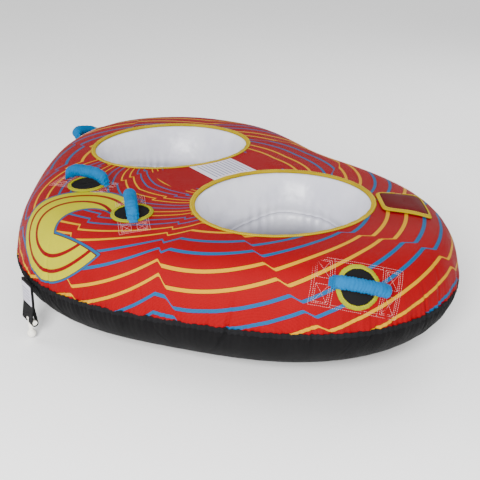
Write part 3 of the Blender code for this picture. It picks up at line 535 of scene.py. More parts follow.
MATERIALS = {
    "print": printed_cover(),
    "band": woven("band_nylon", (0.0046, 0.0044, 0.0048), 0.0022, 0.00018, 0.62, 0.7),
    "flap": woven("flap_nylon", (0.085, 0.0002, 0.0012), 0.0022, 0.00018, 0.52, 0.85),
    "rim": woven("rim_tape", GOLD, 0.0030, 0.0003, 0.62, 0.80, 7.0),
    "lime": woven("guard_tape", LIME, 0.0026, 0.0003, 0.62, 0.80, 9.0),
    "grip": woven("grip_wrap", CYAN, 0.0024, 0.00028, 0.60, 0.80, 16.0),
    "webbing": woven("webbing", (0.010, 0.010, 0.011), 0.0034, 0.0006, 0.66, 0.65),
    "neoprene": neoprene(),
    "vinyl": vinyl(),
    "label": label_print("label_print", 0.0150, 0.72),
    "tow_label": label_print("tow_label_print", 0.0110, 0.62),
    "plastic": moulded("moulded_plastic", (0.80, 0.78, 0.70), 0.38),
    "valve": moulded("valve_plastic", (0.72, 0.73, 0.75), 0.34),
    "zip": woven("zip_tape", shade(BLACK, 1.5), 0.0024, 0.0004, 0.6, stored=False),
    "strap": woven("strap_webbing", shade(BLACK, 1.2), 0.0050, 0.0007, 0.6, stored=False),
    "zip_metal": metal(),
    "coil": moulded("zip_coil", (0.012, 0.012, 0.012), 0.35),
    "thread": moulded("sewing_thread", (0.66, 0.30, 0.28), 0.6, 3000.0),
    "gold_thread": moulded("gold_thread", (0.62, 0.50, 0.05), 0.6, 3000.0),
    "rubber": moulded("seal_rubber", (0.02, 0.02, 0.02), 0.6),
}


# ---- gathers and slack in the cloth
CREASES = 58
GATHER_PITCH = 0.0175        # of the fine puckers at the seam
SWAG_PITCH = 0.071           # of the broad folds between them
SWELL_HEIGHT = 0.0016
FLAT_FADE = 0.05             # over which the swells grow beside whatever is sewn flat
LABEL_RADIUS = 0.13          # of the middle that the label holds flat


def wander(count, step, seed):
    """Evenly scattered numbers between 0 and 1 that repeat on every run."""
    return (np.arange(count) * step + seed) % 1.0


def seam_run():
    """Length round the seam at every direction, and the whole length."""
    x, y = outline(full_turn(AROUND))
    step = np.hypot(np.roll(x, -1) - x, np.roll(y, -1) - y)
    return np.concatenate([[0], np.cumsum(step)[:-1]]), step.sum()


SEAM_RUN, GIRTH = seam_run()


def gathers(run, rise, lean):
    """How far the cloth stands off the tube near the seam: creases and fine puckers."""
    place = (np.arange(CREASES) + 0.75 * wander(CREASES, 0.618, 0.2)) * GIRTH / CREASES
    depth = 0.0016 + 0.0048 * wander(CREASES, 0.414, 0.6) ** 2
    length = 0.025 + 0.110 * wander(CREASES, 0.732, 0.1) ** 2
    slope = lean * (wander(CREASES, 0.236, 0.5) - 0.5)
    width = 0.0045 + 0.004 * wander(CREASES, 0.873, 0.3)
    relief = np.zeros(np.broadcast(run, rise).shape)
    for k in range(CREASES):
        away = run - place[k] - slope[k] * rise
        away = (away + GIRTH / 2) % GIRTH - GIRTH / 2
        reach = away / width[k]
        profile = (1 - 1.1 * reach ** 2) * np.exp(-reach ** 2)
        relief -= depth[k] * profile * np.exp(-(rise / length[k]) ** 2)
    waver = 1.7 * np.sin(run * 21.0) + 1.1 * np.sin(run * 7.3 + 1.0)
    fine = np.sin(2 * math.pi * run / GATHER_PITCH + waver)
    relief += 0.0017 * fine * np.exp(-rise / 0.018) + 0.0007 * fine * np.exp(-rise / 0.05)
    broad = np.sin(2 * math.pi * run / SWAG_PITCH + 2.0 * np.sin(run * 5.0))
    return relief + 0.0022 * broad * np.exp(-rise / 0.06) * np.minimum(1.0, rise / 0.01)


def fixings():
    """Plan centres and radii of what is sewn flat to the cover."""
    spots = []
    for name in GUARDS:
        middle = centre(f"knuckle_guard_{name}")
        spots.append((middle.x, middle.y, span(f"knuckle_guard_{name}", 1) / 2 + 0.012))
    flap = centre("valve_flap")
    spots.append((flap.x, flap.y, span("valve_flap", 1) / 2 + 0.02))
    return spots


def slack(x, y):
    """Slow swells of the crown, flat under whatever is sewn to it."""
    swell = (np.sin(9.0 * x + 4.0 * y) * np.sin(7.0 * y - 3.0 * x + 1.0)
             + 0.6 * np.sin(17.0 * x - 6.0 * y + 2.0) * np.sin(15.0 * y + 5.0 * x))
    free = smooth((np.hypot(x, y) - LABEL_RADIUS) / FLAT_FADE)
    for spot_x, spot_y, radius in fixings():
        free *= smooth((np.hypot(x - spot_x, y - spot_y) - radius) / FLAT_FADE)
    for side in (1, -1):
        free *= smooth((cockpit_distance(x, y, side) - RIM_WIDTH) / FLAT_FADE)
    return SWELL_HEIGHT * swell * free


def smooth(value):
    value = np.clip(value, 0, 1)
    return value * value * (3 - 2 * value)


# ---- cockpits
COCKPIT_X = centre("cockpit_binding_left").x
COCKPIT_HALF_WIDTH = span("cockpit_binding_left", 0) / 2 - RIM_WIDTH - RIM_GAP
COCKPIT_HALF_LENGTH = span("cockpit_binding_left", 1) / 2 - RIM_WIDTH - RIM_GAP


def cockpit_distance(x, y, side):
    """Distance outside the rim of a cockpit, near enough for placing trim."""
    across = (x - side * COCKPIT_X) / COCKPIT_HALF_WIDTH
    down = y / COCKPIT_HALF_LENGTH
    reach = np.hypot(across, down)
    slope = np.hypot(across / COCKPIT_HALF_WIDTH, down / COCKPIT_HALF_LENGTH)
    return (reach - 1) * reach / np.maximum(slope, TINY)


def rim_point(side, direction, grow):
    """Plan place round a cockpit, outside its rim by a growth."""
    x = side * COCKPIT_X + (COCKPIT_HALF_WIDTH + grow) * np.cos(direction)
    return x, (COCKPIT_HALF_LENGTH + grow) * np.sin(direction)


def open_cockpits(points, grow):
    """Drop the faces over the cockpits and pull the vertices round them onto the rims."""
    points = points.copy()
    flat = points.reshape(-1, 3)
    faces = np.array(grid_faces(*points.shape[:2]))
    for side in (1, -1):
        across = (flat[:, 0] - side * COCKPIT_X) / (COCKPIT_HALF_WIDTH + grow)
        down = flat[:, 1] / (COCKPIT_HALF_LENGTH + grow)
        inside = np.hypot(across, down) < 1
        cut = inside[faces].sum(axis=1) >= 2
        border, kept = np.zeros((2, len(flat)), bool)
        border[faces[cut]] = True
        faces = faces[~cut]
        kept[faces] = True
        edge = border & kept
        direction = np.arctan2(down[edge], across[edge])
        flat[edge, 0], flat[edge, 1] = rim_point(side, direction, grow)
    return points, faces


# ---- printed pattern
STRIPE_CENTRE = (0.25, -0.08)   # the lines on each half run round this point
STRIPE_PITCH = 0.053
FIRST_RADIUS = 0.462            # of the first yellow line just past a jog
FIRST_LINE = 4.5
JOG_PERIOD = 42.0               # degrees between the jogs
JOG_START = -67.0
JOG_TWIST = 67.0                # degrees per metre that a jog leans back
JOG_DROP = 0.027
JOG_WIDTH = 0.030               # share of the period that a jog takes
NOSE_SPREAD = 0.0078            # metres per degree that the lines run out towards the nose
REAR_SPREAD = 0.0048
REAR_START = 52.0
CRESCENT_CENTRE = (0.060, -0.600)
CRESCENT_RADIUS = 0.208
HOLLOW_CENTRE = (0.105, -0.572)
HOLLOW_RADIUS = 0.092
CRESCENT_TIP_X = 0.105
CHORD_START = (0.048, -0.657)   # a point on the straight upper edge of the crescent
CHORD_SLOPE = 0.255
INLINE_RADII = (0.128, 0.176)
INLINE_WIDTH = 0.0055
PLAIN_HALF_WIDTH = 0.105        # of the unprinted middle under the label
PLAIN_ENDS = (-0.23, 0.21)


def stripe_field(x, y, excess):
    """Line count across the pattern; a line is drawn round every half number."""
    x = np.abs(x)
    away_x, away_y = x - STRIPE_CENTRE[0], y - STRIPE_CENTRE[1]
    radius = np.hypot(away_x, away_y) + excess
    bearing = np.degrees(np.arctan2(away_y, away_x))
    nose = NOSE_SPREAD * np.maximum(0.0, JOG_START - bearing)
    rear = REAR_SPREAD * np.maximum(0.0, bearing - REAR_START)
    phase = (bearing - JOG_TWIST * (radius - FIRST_RADIUS) - JOG_START) / JOG_PERIOD % 1.0
    fall = np.where(phase < 1 - JOG_WIDTH, phase / (1 - JOG_WIDTH), (1 - phase) / JOG_WIDTH)
    level = radius - nose - rear + JOG_DROP * fall
    return (level - FIRST_RADIUS) / STRIPE_PITCH + FIRST_LINE


def crescent_fields(x, y, excess):
    """Signed distance into the nose crescent, and distance outside its inner lines."""
    away = np.hypot(x - CRESCENT_CENTRE[0], y - CRESCENT_CENTRE[1]) + excess
    inner = np.hypot(x - HOLLOW_CENTRE[0], y - HOLLOW_CENTRE[1]) - HOLLOW_RADIUS
    above = y - CHORD_START[1] - CHORD_SLOPE * (x - CHORD_START[0])
    above = above / math.hypot(1, CHORD_SLOPE)
    hollow = np.minimum(above, np.maximum(-inner, x - CRESCENT_TIP_X))
    inside = np.minimum(CRESCENT_RADIUS - away, -hollow)
    lines = np.minimum.reduce([np.abs(away - r) for r in INLINE_RADII]) - INLINE_WIDTH
    return inside, lines


def plain_field(x, y):
    """Positive where lines are printed; the middle under the label stays plain."""
    beyond = np.maximum(y - PLAIN_ENDS[1], PLAIN_ENDS[0] - y)
    return np.maximum(np.abs(x) - PLAIN_HALF_WIDTH, beyond)


# ---- cover
ARC_STEPS = 420              # along a section when its arc is measured
ARC_CROWDING = 2.6
COVER_START = 0.02           # share of the radius at which the cover's grid starts
WINDOW_RADIUS = 0.044
TAPE_SECTION = ((-1.0, 0.0), (-1.0, 0.55), (-0.80, 1.0), (0.80, 1.0), (1.0, 0.55), (1.0, 0.0))


def even_shares(side, rows, start, crowding):
    """Shares of the radius for every direction, evenly spaced along the section's arc."""
    angle = full_turn(AROUND)
    fine = start + (1 - start) * (1 - (1 - np.linspace(0, 1, ARC_STEPS)) ** ARC_CROWDING)
    arc = lengths_along(skin(angle[None, :], fine[:, None], side), 0)
    wanted = 1 - (1 - np.linspace(0, 1, rows)) ** crowding
    shares = np.empty((rows, AROUND))
    rise = np.empty((rows, AROUND))
    for column in range(AROUND):
        total = arc[-1, column]
        shares[:, column] = np.interp(wanted * total, arc[:, column], fine)
        rise[:, column] = total - wanted * total
    return angle, shares, rise


def build_cover():
    angle, shares, rise = even_shares(1, COVER_ROWS, COVER_START, SEAM_CROWDING)
    base = skin(angle[None, :], shares, 1)
    opened, faces = open_cockpits(base, 0.0)
    x, y = opened[..., 0], opened[..., 1]
    moved = np.hypot(x - base[..., 0], y - base[..., 1]) > TINY
    opened[moved] = top_point(x[moved], y[moved])
    normal = grid_normals(base)
    normal *= np.sign(normal[..., 2:3].sum())
    relief = gathers(SEAM_RUN[None, :], rise, 0.7) + slack(x, y)
    for side in (1, -1):
        relief = relief * smooth(cockpit_distance(x, y, side) / 0.03)
    points = opened + normal * (relief + CLEAR)[..., None]
    cover = make_object("cover_top", points, faces.tolist(), MATERIALS["print"],
                        np.stack([x, y], axis=-1))
    print_cover(cover, x, y, arc_excess(angle, shares, rise))
    drop_loose(cover)
    cut_window(cover)
    attach(cover, "tube", "cover_nylon", "top_cover")


def arc_excess(angle, shares, rise):
    """How much longer the way out from the middle is along the cloth than in plan."""
    plan = np.hypot(*outline(angle))[None, :] * (1 - shares)
    return (rise[0] - plan[0])[None, :] - (rise - plan)


def print_cover(cover, x, y, excess):
    """Store the fields that the printed pattern is drawn from."""
    inside, lines = crescent_fields(x, y, excess)
    fields = {"stripe": stripe_field(x, y, excess), "crescent": inside, "inline": lines,
              "plain": plain_field(x, y)}
    for name, values in fields.items():
        add_numbers(cover.data, name, values)


def drop_loose(piece):
    """Remove the vertices that no face uses."""
    form = bmesh.new()
    form.from_mesh(piece.data)
    loose = [v for v in form.verts if not v.link_faces]
    bmesh.ops.delete(form, geom=loose, context="VERTS")
    form.to_mesh(piece.data)
    form.free()


def cut_window(cover):
    """Open the valve window in the cover, under the flap."""
    origin, normal = joint_place("valve_insert_turn")
    form = bmesh.new()
    form.from_mesh(cover.data)
    inside = []
    for face in form.faces:
        away = np.array(face.calc_center_median()) - origin
        away = away - normal * away.dot(normal)
        if np.linalg.norm(away) < WINDOW_RADIUS:
            inside.append(face)
    bmesh.ops.delete(form, geom=inside, context="FACES")
    form.to_mesh(cover.data)
    form.free()


def build_band():
    """Black side band from the seam down to the floor panel, gathered along the seam."""
    angle, shares, rise = even_shares(-1, BAND_ROWS, BAND_START, SEAM_CROWDING)
    base = skin(angle[None, :], shares, -1)
    normal = grid_normals(base)
    outward = np.sign((normal[..., :2] * base[..., :2]).sum())
    hem = smooth((rise[0][None, :] - rise) / 0.03)
    relief = gathers(SEAM_RUN[None, :], rise, -1.6) * (0.25 + 0.75 * hem)
    points = base + outward * normal * (relief + CLEAR)[..., None]
    weave = np.stack([lengths_along(base, 1), lengths_along(base, 0)], axis=-1)
    band = make_object("side_band_cloth", points, grid_faces(*base.shape[:2], flip=True),
                       MATERIALS["band"], weave)
    attach(band, "tube", "black_nylon", "side_band")


def build_floor_panel():
    """Nylon floor that closes the cockpits from below, slightly rippled."""
    rows, columns = 40, 320
    shares = np.linspace(0.01, 1, rows)[:, None] * (BAND_START - 0.0014)
    base = skin(full_turn(columns)[None, :], shares, -1)
    ripple = np.sin(base[..., 0] * 31 + base[..., 1] * 12) * np.sin(base[..., 1] * 27)
    points = base.copy()
    points[..., 2] += 0.0006 * (1 + ripple) * smooth((1 - shares / BAND_START) / 0.15)
    panel = make_object("floor_panel", points, grid_faces(rows, columns), MATERIALS["band"],
                        base[..., :2])
    solidify(panel, COVER_THICKNESS * 0.8)
    attach(panel, "tube", "black_nylon", "bottom_panel")


def solidify(piece, thickness, offset=1.0):
    """Give a sheet its thickness and keep the result."""
    modifier = piece.modifiers.new("thickness", "SOLIDIFY")
    modifier.thickness = thickness
    modifier.offset = offset
    depsgraph = bpy.context.evaluated_depsgraph_get()
    mesh = bpy.data.meshes.new_from_object(piece.evaluated_get(depsgraph))
    piece.modifiers.clear()
    piece.data = mesh


def build_seam_tape():
    """Tape over the equator seam, puckered with the cloth."""
    angle = full_turn(AROUND)
    low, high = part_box("seam_binding")
    half = ((high.z - low.z) - SEAM_RISE * (high.y - low.y)) / 2
    pucker = gathers(SEAM_RUN, np.zeros(AROUND), 0.0)
    wave = 0.0012 * np.sin(2 * math.pi * SEAM_RUN / 0.043 + np.sin(SEAM_RUN * 9))
    points = np.empty((AROUND, len(TAPE_SECTION), 3))
    for k, (up, out) in enumerate(TAPE_SECTION):
        x, y = outline(angle, -(0.0008 + 0.0016 * out + pucker))
        points[:, k] = np.stack([x, y, seam_height(y) + up * half + wave], axis=-1)
    tape = swept("seam_tape", points, MATERIALS["webbing"], closed_path=True)
    attach(tape, "tube", "black_webbing", "seam_binding")


# ---- cockpit rims and wells
RIM_STITCH_REACH = 0.0105
RIM_STITCH_HEIGHT = 0.0026
RIM_SECTION = (              # growth outside the opening and height over the cover
    (RIM_WIDTH, 0.0004), (RIM_WIDTH + 0.0006, 0.0012), (RIM_WIDTH - 0.001, 0.0021),
    (0.006, 0.0024), (0.001, 0.0024), (-0.0016, 0.0014), (-0.0024, -0.0008),
    (-0.0020, -0.0040), (-0.0008, -0.0062), (0.0004, -0.0064), (0.0006, -0.0040),
    (0.0006, -0.0016), (0.003, 0.0004))
WELL_MIDDLE = CROWN_HEIGHT / 2
WELL_HALF = CROWN_HEIGHT / 2 + 0.010
WELL_COLUMNS = 480
WELL_ROWS = 110
WELL_TUCK = 0.0045           # the well's ends under the bladder's skin
WELL_OVERRUN = 0.05          # share of the wall by which each end curls out
WELL_CURL = 0.022
INNER_INSET = 0.0024         # bladder under the cover
SEAM_SLACK = 0.014           # the bladder hangs back from the gathered seam
WELD_SHARE = 0.36            # way down the wall at which the weld runs


def rim_ripple(angle):
    return (0.00045 * np.sin(angle * 118) * (0.7 + 0.3 * np.sin(angle * 5))
            + 0.0005 * np.sin(angle * 31 + 1.0))


def build_rim(label, side):
    """Tape wrapped over the cut edge of the cover: flat on top, round at the edge."""
    angle = full_turn(720)
    points = np.empty((len(angle), len(RIM_SECTION), 3))
    for k, (grow, height) in enumerate(RIM_SECTION):
        ripple = rim_ripple(angle) if height > 0.001 else 0.5 * rim_ripple(angle)
        reach = grow + ripple * (1 if grow > 0.01 else -0.6)
        points[:, k] = top_point(*rim_point(side, angle, reach))
        points[:, k, 2] += height + 0.5 * ripple
    if side < 0:
        points = points[::-1]
    rim = swept(f"cockpit_rim_{label}", points, MATERIALS["rim"], closed_path=True)
    attach(rim, "tube", "binding_tape", f"cockpit_binding_{label}")
    route = top_point(*rim_point(side, angle, RIM_STITCH_REACH))
    route[:, 2] += RIM_STITCH_HEIGHT
    stitched(f"rim_stitches_{label}", [closed(route)], MATERIALS["gold_thread"],
             0.0050, 0.0016, 0.0005)


def well_grow(height):
    """How far the bladder wall stands outside the rim's ellipse, by height."""
    level = np.clip((height - WELL_MIDDLE) / WELL_HALF, -0.999, 0.999)
    flare = 1 - np.sqrt(1 - level ** 2)
    return -COCKPIT_BULGE + (COCKPIT_BULGE + COCKPIT_FLARE) * flare


def build_bladder():
    """Bladder skin under the cover, and the two wells that run down through it."""
    columns, rows = 360, 56
    shares = 1 - 0.985 * (1 - np.linspace(0, 1, rows)) ** 1.8
    shares[-1] = 0.9999
    shares = shares[:, None]
    inset = INNER_INSET + SEAM_SLACK * smooth((shares - 0.72) / 0.2)
    points, faces = np.empty((0, 3)), []
    for side in (1, -1):
        sheet = skin(full_turn(columns)[None, :], shares, side, inset)
        opened, kept = open_cockpits(sheet, 0.004)
        moved = np.hypot(*(opened - sheet)[..., :2].transpose(2, 0, 1)) > TINY
        x, y = opened[moved, 0], opened[moved, 1]
        opened[moved] = skin(np.arctan2(x, y), share_at(x, y), side, INNER_INSET)
        faces += (kept[:, ::side] + len(points)).tolist()
        points = np.vstack([points, opened.reshape(-1, 3)])
    weld = np.ones(len(points))
    line = well_weld()
    for side in (1, -1):
        wall = well_wall(side)
        faces += grid_faces(*wall.shape[:2], offset=len(points), flip=True)
        points = np.vstack([points, wall.reshape(-1, 3)])
        weld = np.concatenate([weld, line[:, ::side].ravel()])
    bladder = make_object("bladder_skin", points, faces, MATERIALS["vinyl"], points[:, :2])
    add_numbers(bladder.data, "weld", weld)
    drop_loose(bladder)
    attach(bladder, "tube", "bladder_vinyl", "bladder_upper", "bladder_lower")


def well_grid():
    """Directions round a well, and the levels down it; the ends run on past the openings."""
    share = np.linspace(-WELL_OVERRUN, 1 + WELL_OVERRUN, WELL_ROWS)
    return full_turn(WELL_COLUMNS)[None, :], share[:, None]


def well_wall(side):
    """One well: its ends curl out just under the skin, its middle swells into the cockpit."""
    direction, share = well_grid()
    held = np.clip(share, 0, 1)
    edge_x, edge_y = rim_point(1, direction, 0.0)
    angle, reach = np.arctan2(side * edge_x, edge_y), share_at(side * edge_x, edge_y)
    high = skin(angle, reach, 1, INNER_INSET)[..., 2] - WELL_TUCK
    low = skin(angle, reach, -1, INNER_INSET)[..., 2] + WELL_TUCK
    z = high + (low - high) * held
    curl = np.maximum(0.0, np.abs(share - 0.5) - 0.5) / WELL_OVERRUN
    grow = well_grow(z) + wall_relief(direction, held) + WELL_CURL * curl ** 1.4
    x, y = rim_point(1, direction, grow)
    return np.stack([side * x, y, z], axis=-1)[:, ::side]


def below_weld(direction, share):
    """Distance down the wall from the weld, which rises fore and aft of the middle."""
    level = WELD_SHARE - 0.055 * np.cos(2 * (direction - 2.35)) + 0.004 * np.sin(direction * 9)
    return (share - level) * CROWN_HEIGHT


def well_weld():
    return below_weld(*well_grid())


def wall_relief(direction, share):
    """Weld ridge round the well, with the pleats that it pulls and the pad's slow swell."""
    away = below_weld(direction, share)
    pinch = 0.0065 * np.exp(-(away / 0.020) ** 2)
    ridge = -0.0030 * np.exp(-(away / 0.0030) ** 2)
    pleat = 0.0022 * np.sin(direction * 46 + 2 * np.sin(direction * 5))
    pleat = pleat * np.exp(-(away / 0.045) ** 2) * (0.5 + 0.5 * np.sin(direction * 7))
    swell = 0.0040 * np.sin(direction * 5 + 4 * share) * np.sin(share * math.pi)
    return pinch + ridge + pleat + swell


# ---- stitches
def stitched(name, routes, material, length, gap, radius, body="tube"):
    """Separate stitches along routes: each a small four-sided pod lying on the cloth."""
    points, faces = [], []
    for route in routes:
        run = lengths_along(route, 0)
        count = max(1, int(round(run[-1] / (length + gap))))
        pitch = run[-1] / count
        for k in range(count):
            ends = (k * pitch + gap / 2, k * pitch + pitch - gap / 2)
            low, high = [np.array([np.interp(end, run, route[:, axis]) for axis in range(3)])
                         for end in ends]
            add_pod(points, faces, low, high, radius)
    points = np.array(points)
    attach(make_object(name, points, faces, material, points[:, :2]), body, "binding_tape")


def closed(route):
    return np.vstack([route, route[:1]])


def add_pod(points, faces, low, high, radius):
    """Add a stitch from low to high: a point, two squares of corners, and a point."""
    ahead = high - low
    ahead /= max(np.linalg.norm(ahead), TINY)
    side = np.cross(ahead, (0.0, 0.0, 1.0))
    side /= max(np.linalg.norm(side), TINY)
    up = np.cross(side, ahead)
    start = len(points)
    dip = up * radius * 0.9
    points.append(low - dip)
    for share in (0.25, 0.75):
        middle = low + (high - low) * share
        for turn_side, turn_up in ((1, 0), (0, 1), (-1, 0), (0, -1)):
            points.append(middle + (side * turn_side + up * turn_up) * radius)
    points.append(high - dip)
    for k in range(4):
        turn = (k + 1) % 4
        faces.append((start, start + 1 + turn, start + 1 + k))
        faces.append((start + 1 + k, start + 1 + turn, start + 5 + turn, start + 5 + k))
        faces.append((start + 9, start + 5 + k, start + 5 + turn))


BOX_LINES = (((-1, -1), (1, -1)), ((1, -1), (1, 1)), ((1, 1), (-1, 1)), ((-1, 1), (-1, -1)))
CROSS_LINES = (((-1, -1), (1, 1)), ((-1, 1), (1, -1)))
MIDDLE_LINE = (((-1, 0), (1, 0)),)


def sewn_lines(seat, middle, half, lines):
    """Straight routes on the cloth, each between two corners of a box about a middle."""
    share = np.linspace(0, 1, 24)[:, None]
    routes = []
    for start, end in lines:
        start = np.array(middle) + np.array(half) * start
        end = np.array(middle) + np.array(half) * end
        along, across = (start + (end - start) * share).T
        routes.append(seat.on_skin(along, across, STITCH_HEIGHT))
    return routes


# ---- handles
HANDLE_FOOT = 0.088
HANDLE_RISE = 0.047
GRIP_RADIUS = 0.0188
GRIP_REACH = 0.0795
GRIP_END = 0.98              # how far the crowding of the grip's stations runs to its ends
STITCH_HEIGHT = 0.0007
SEWN_HALF_LENGTH = 0.128     # of the stitching that holds a handle's straps
PATCH_HALF_LENGTH = 0.030
PATCH_REACH = {"outer": 0.068, "inner": 0.046}
ROW_GAP = 0.007              # between double rows of stitches
STRAP_HALF_WIDTH = 0.0125
STRAP_HALF_THICKNESS = 0.0012
STRAP_SECTION = np.array(((-1, -0.6), (-0.94, -1), (0.94, -1), (1, -0.6), (1, 0.6),
                          (0.94, 1), (-0.94, 1), (-1, 0.6)))
GUARD_SECTION = (            # growth outside the pad and height over the cover
    (0.0016, 0.0006), (0.0022, 0.0024), (0.0010, 0.0046), (-0.002, 0.0054),
    (-0.0065, 0.0056), (-0.0098, 0.0054), (-0.0108, 0.0046), (-0.0104, 0.0038),
    (-0.004, 0.0040), (-0.001, 0.0034), (-0.0002, 0.0010))
GUARD_EDGES = (0, 1, 2, 5, 6, 7)   # corners of the section that pucker
GUARD_STITCH_INSET = 0.0078
GUARD_STITCH_HEIGHT = 0.0059


def arch_height(along):
    return HANDLE_RISE * (1 - np.abs(along / HANDLE_FOOT) ** 4)


def along_arch(seat, along, side, up):
    """Points of a section, given across and up, carried along the handle's arch."""
    height = arch_height(along)
    run, climb = np.gradient(along), np.gradient(height)
    size = np.hypot(run, climb)
    run, climb = (run / size)[:, None], (climb / size)[:, None]
    return seat.straight(along[:, None] - climb * up, side, height[:, None] + run * up)


def handle_seat(name):
    origin, axis = joint_place(f"handle_{name}_flop")
    return Seat(origin, axis)


def build_guard(name):
    """Neoprene pad with a stitched, puckered binding round it."""
    seat = handle_seat(name)
    low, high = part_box(f"knuckle_guard_{name}")
    radius = max((high - low)[:2]) / 2
    rows, columns = 26, 120
    angle = full_turn(columns)
    share = np.linspace(0.02, 1, rows)[:, None]
    dent = 0.0007 * np.sin(angle * 3 + 4 * share) * np.sin(share * 7)
    height = 0.0004 + 0.0034 * (1 - share ** 10) ** 0.5 + 0.0012 * (1 - share ** 2) + dent
    points = np.vstack([seat.ring(radius * share, angle, level).reshape(-1, 3)
                        for level in (height, 0.0004)])
    count = rows * columns
    last = np.arange(columns) + (rows - 1) * columns
    wall = np.stack([last, np.roll(last, -1), np.roll(last, -1) + count, last + count], axis=1)
    middles = [tuple(range(columns))[::-1], tuple(count + k for k in range(columns))]
    faces = (grid_faces(rows, columns, flip=True) + grid_faces(rows, columns, offset=count)
             + wall[:, ::-1].tolist() + middles)
    guard = make_object(f"guard_pad_{name}", points, faces, MATERIALS["neoprene"],
                        points[:, :2])
    attach(guard, "tube", "neoprene", f"knuckle_guard_{name}")
    build_guard_binding(name, seat, radius)


def build_guard_binding(name, seat, radius):
    angle = full_turn(240)
    ripple = 0.00035 * np.sin(angle * 41) + 0.0004 * np.sin(angle * 13 + 1.0)
    points = np.empty((len(angle), len(GUARD_SECTION), 3))
    for k, (grow, height) in enumerate(GUARD_SECTION):
        reach = radius + grow + ripple * (k in GUARD_EDGES)
        points[:, k] = seat.ring(reach, angle, height + 0.6 * ripple)
    ring = swept(f"guard_ring_{name}", points, MATERIALS["lime"], closed_path=True)
    attach(ring, "tube", "binding_tape", f"guard_binding_{name}")
    route = seat.ring(radius - GUARD_STITCH_INSET, angle, GUARD_STITCH_HEIGHT)
    stitched(f"guard_stitches_{name}", [closed(route)], MATERIALS["gold_thread"],
             0.0042, 0.0014, 0.00045)


def build_grip(name):
    """Foam grip in a wrinkled cloth sleeve, pinched flat over the webbing at both ends."""
    seat = handle_seat(name)
    quarter = math.pi / 2 * GRIP_END
    along = GRIP_REACH * np.sin(np.linspace(-1, 1, 150) * quarter) / math.sin(quarter)
    travel = np.cumsum(np.hypot(np.gradient(along), np.gradient(arch_height(along))))
    turn = full_turn(56)[None, :]
    pinch = smooth(np.minimum(travel - travel[0], travel[-1] - travel)[:, None] / 0.024)
    half_up = 0.0062 + (GRIP_RADIUS - 0.0062) * pinch
    half_side = 0.0165 + (GRIP_RADIUS - 0.0165) * pinch
    travel = travel[:, None]
    relief = grip_wrinkles(travel, turn) + 0.0012 * (1 - pinch) * np.sin(turn * 9)
    lobe = (np.abs(np.cos(turn)) ** 2.2 + np.abs(np.sin(turn)) ** 2.2) ** (-1 / 2.2)
    side = (half_side * lobe + relief) * np.cos(turn)
    up = (half_up * lobe + relief) * np.sin(turn)
    grip = swept(f"grip_sleeve_{name}", along_arch(seat, along, side, up), MATERIALS["grip"])
    attach(grip, f"handle_{name}", "grip_wrap", f"handle_grip_{name}")
    build_strap(name, seat)


def grip_wrinkles(travel, turn):
    """Tight folds round the sleeve, strongest across its sides, over a slower swell."""
    drift = 1.1 * np.sin(3 * turn + 0.5) + 0.9 * np.sin(2 * turn + travel * 90)
    folds = np.sin(2 * math.pi * travel / 0.0093 + drift)
    folds = np.sign(folds) * np.abs(folds) ** 0.8
    grain = 0.45 + 0.55 * np.abs(np.cos(turn + 0.4))
    swell = np.sin(2 * math.pi * travel / 0.027 + 2.0 * np.sin(turn))
    return 0.0009 * folds * grain + 0.0006 * swell


def build_strap(name, seat):
    """Webbing that carries the grip, down to its feet at the cover."""
    node = frame["nodes"][f"handle_webbing_{name}"]
    corners = np.array([vertex.co for vertex in node.data.vertices])
    foot = float(np.abs((corners - seat.origin) @ seat.along).max())
    along = foot * np.sin(np.linspace(-1, 1, 90) * math.pi / 2)
    side = STRAP_SECTION[None, :, 0] * STRAP_HALF_WIDTH
    up = STRAP_SECTION[None, :, 1] * STRAP_HALF_THICKNESS
    strap = swept(f"grip_webbing_{name}", along_arch(seat, along, side, up), MATERIALS["grip"])
    attach(strap, f"handle_{name}", "black_webbing", f"handle_webbing_{name}")


def build_handle_stitches(name):
    """Stitching that holds the inner reinforcing straps under the cover."""
    seat = handle_seat(name)
    reach = PATCH_REACH[name.split("_")[0]]
    routes = []
    for end in (1, -1):
        middle = end * (SEWN_HALF_LENGTH - PATCH_HALF_LENGTH)
        for inset in (0.0, ROW_GAP):
            half = (PATCH_HALF_LENGTH - inset, reach - inset)
            routes += sewn_lines(seat, (middle, 0.0), half, BOX_LINES)
        for block in (1, -1):
            spot = (middle, block * (reach / 2 - 0.001))
            half = (PATCH_HALF_LENGTH - 0.012, reach / 2 - 0.010)
            routes += sewn_lines(seat, spot, half, BOX_LINES + CROSS_LINES)
    half = (SEWN_HALF_LENGTH - 2 * PATCH_HALF_LENGTH, 0.0)
    for edge in (1, -1):
        for step in (0.0, ROW_GAP):
            routes += sewn_lines(seat, (0.0, edge * (reach - step)), half, MIDDLE_LINE)
    stitched(f"handle_stitches_{name}", routes, MATERIALS["thread"], 0.0046, 0.0011, 0.00052)


# ---- labels
LABEL_STITCH_INSET = 0.0035


def superellipse(direction, half_along, half_across, power):
    c, s = np.cos(direction), np.sin(direction)
    reach = (np.abs(c / half_along) ** power + np.abs(s / half_across) ** power) ** (-1 / power)
    return reach * c, reach * s


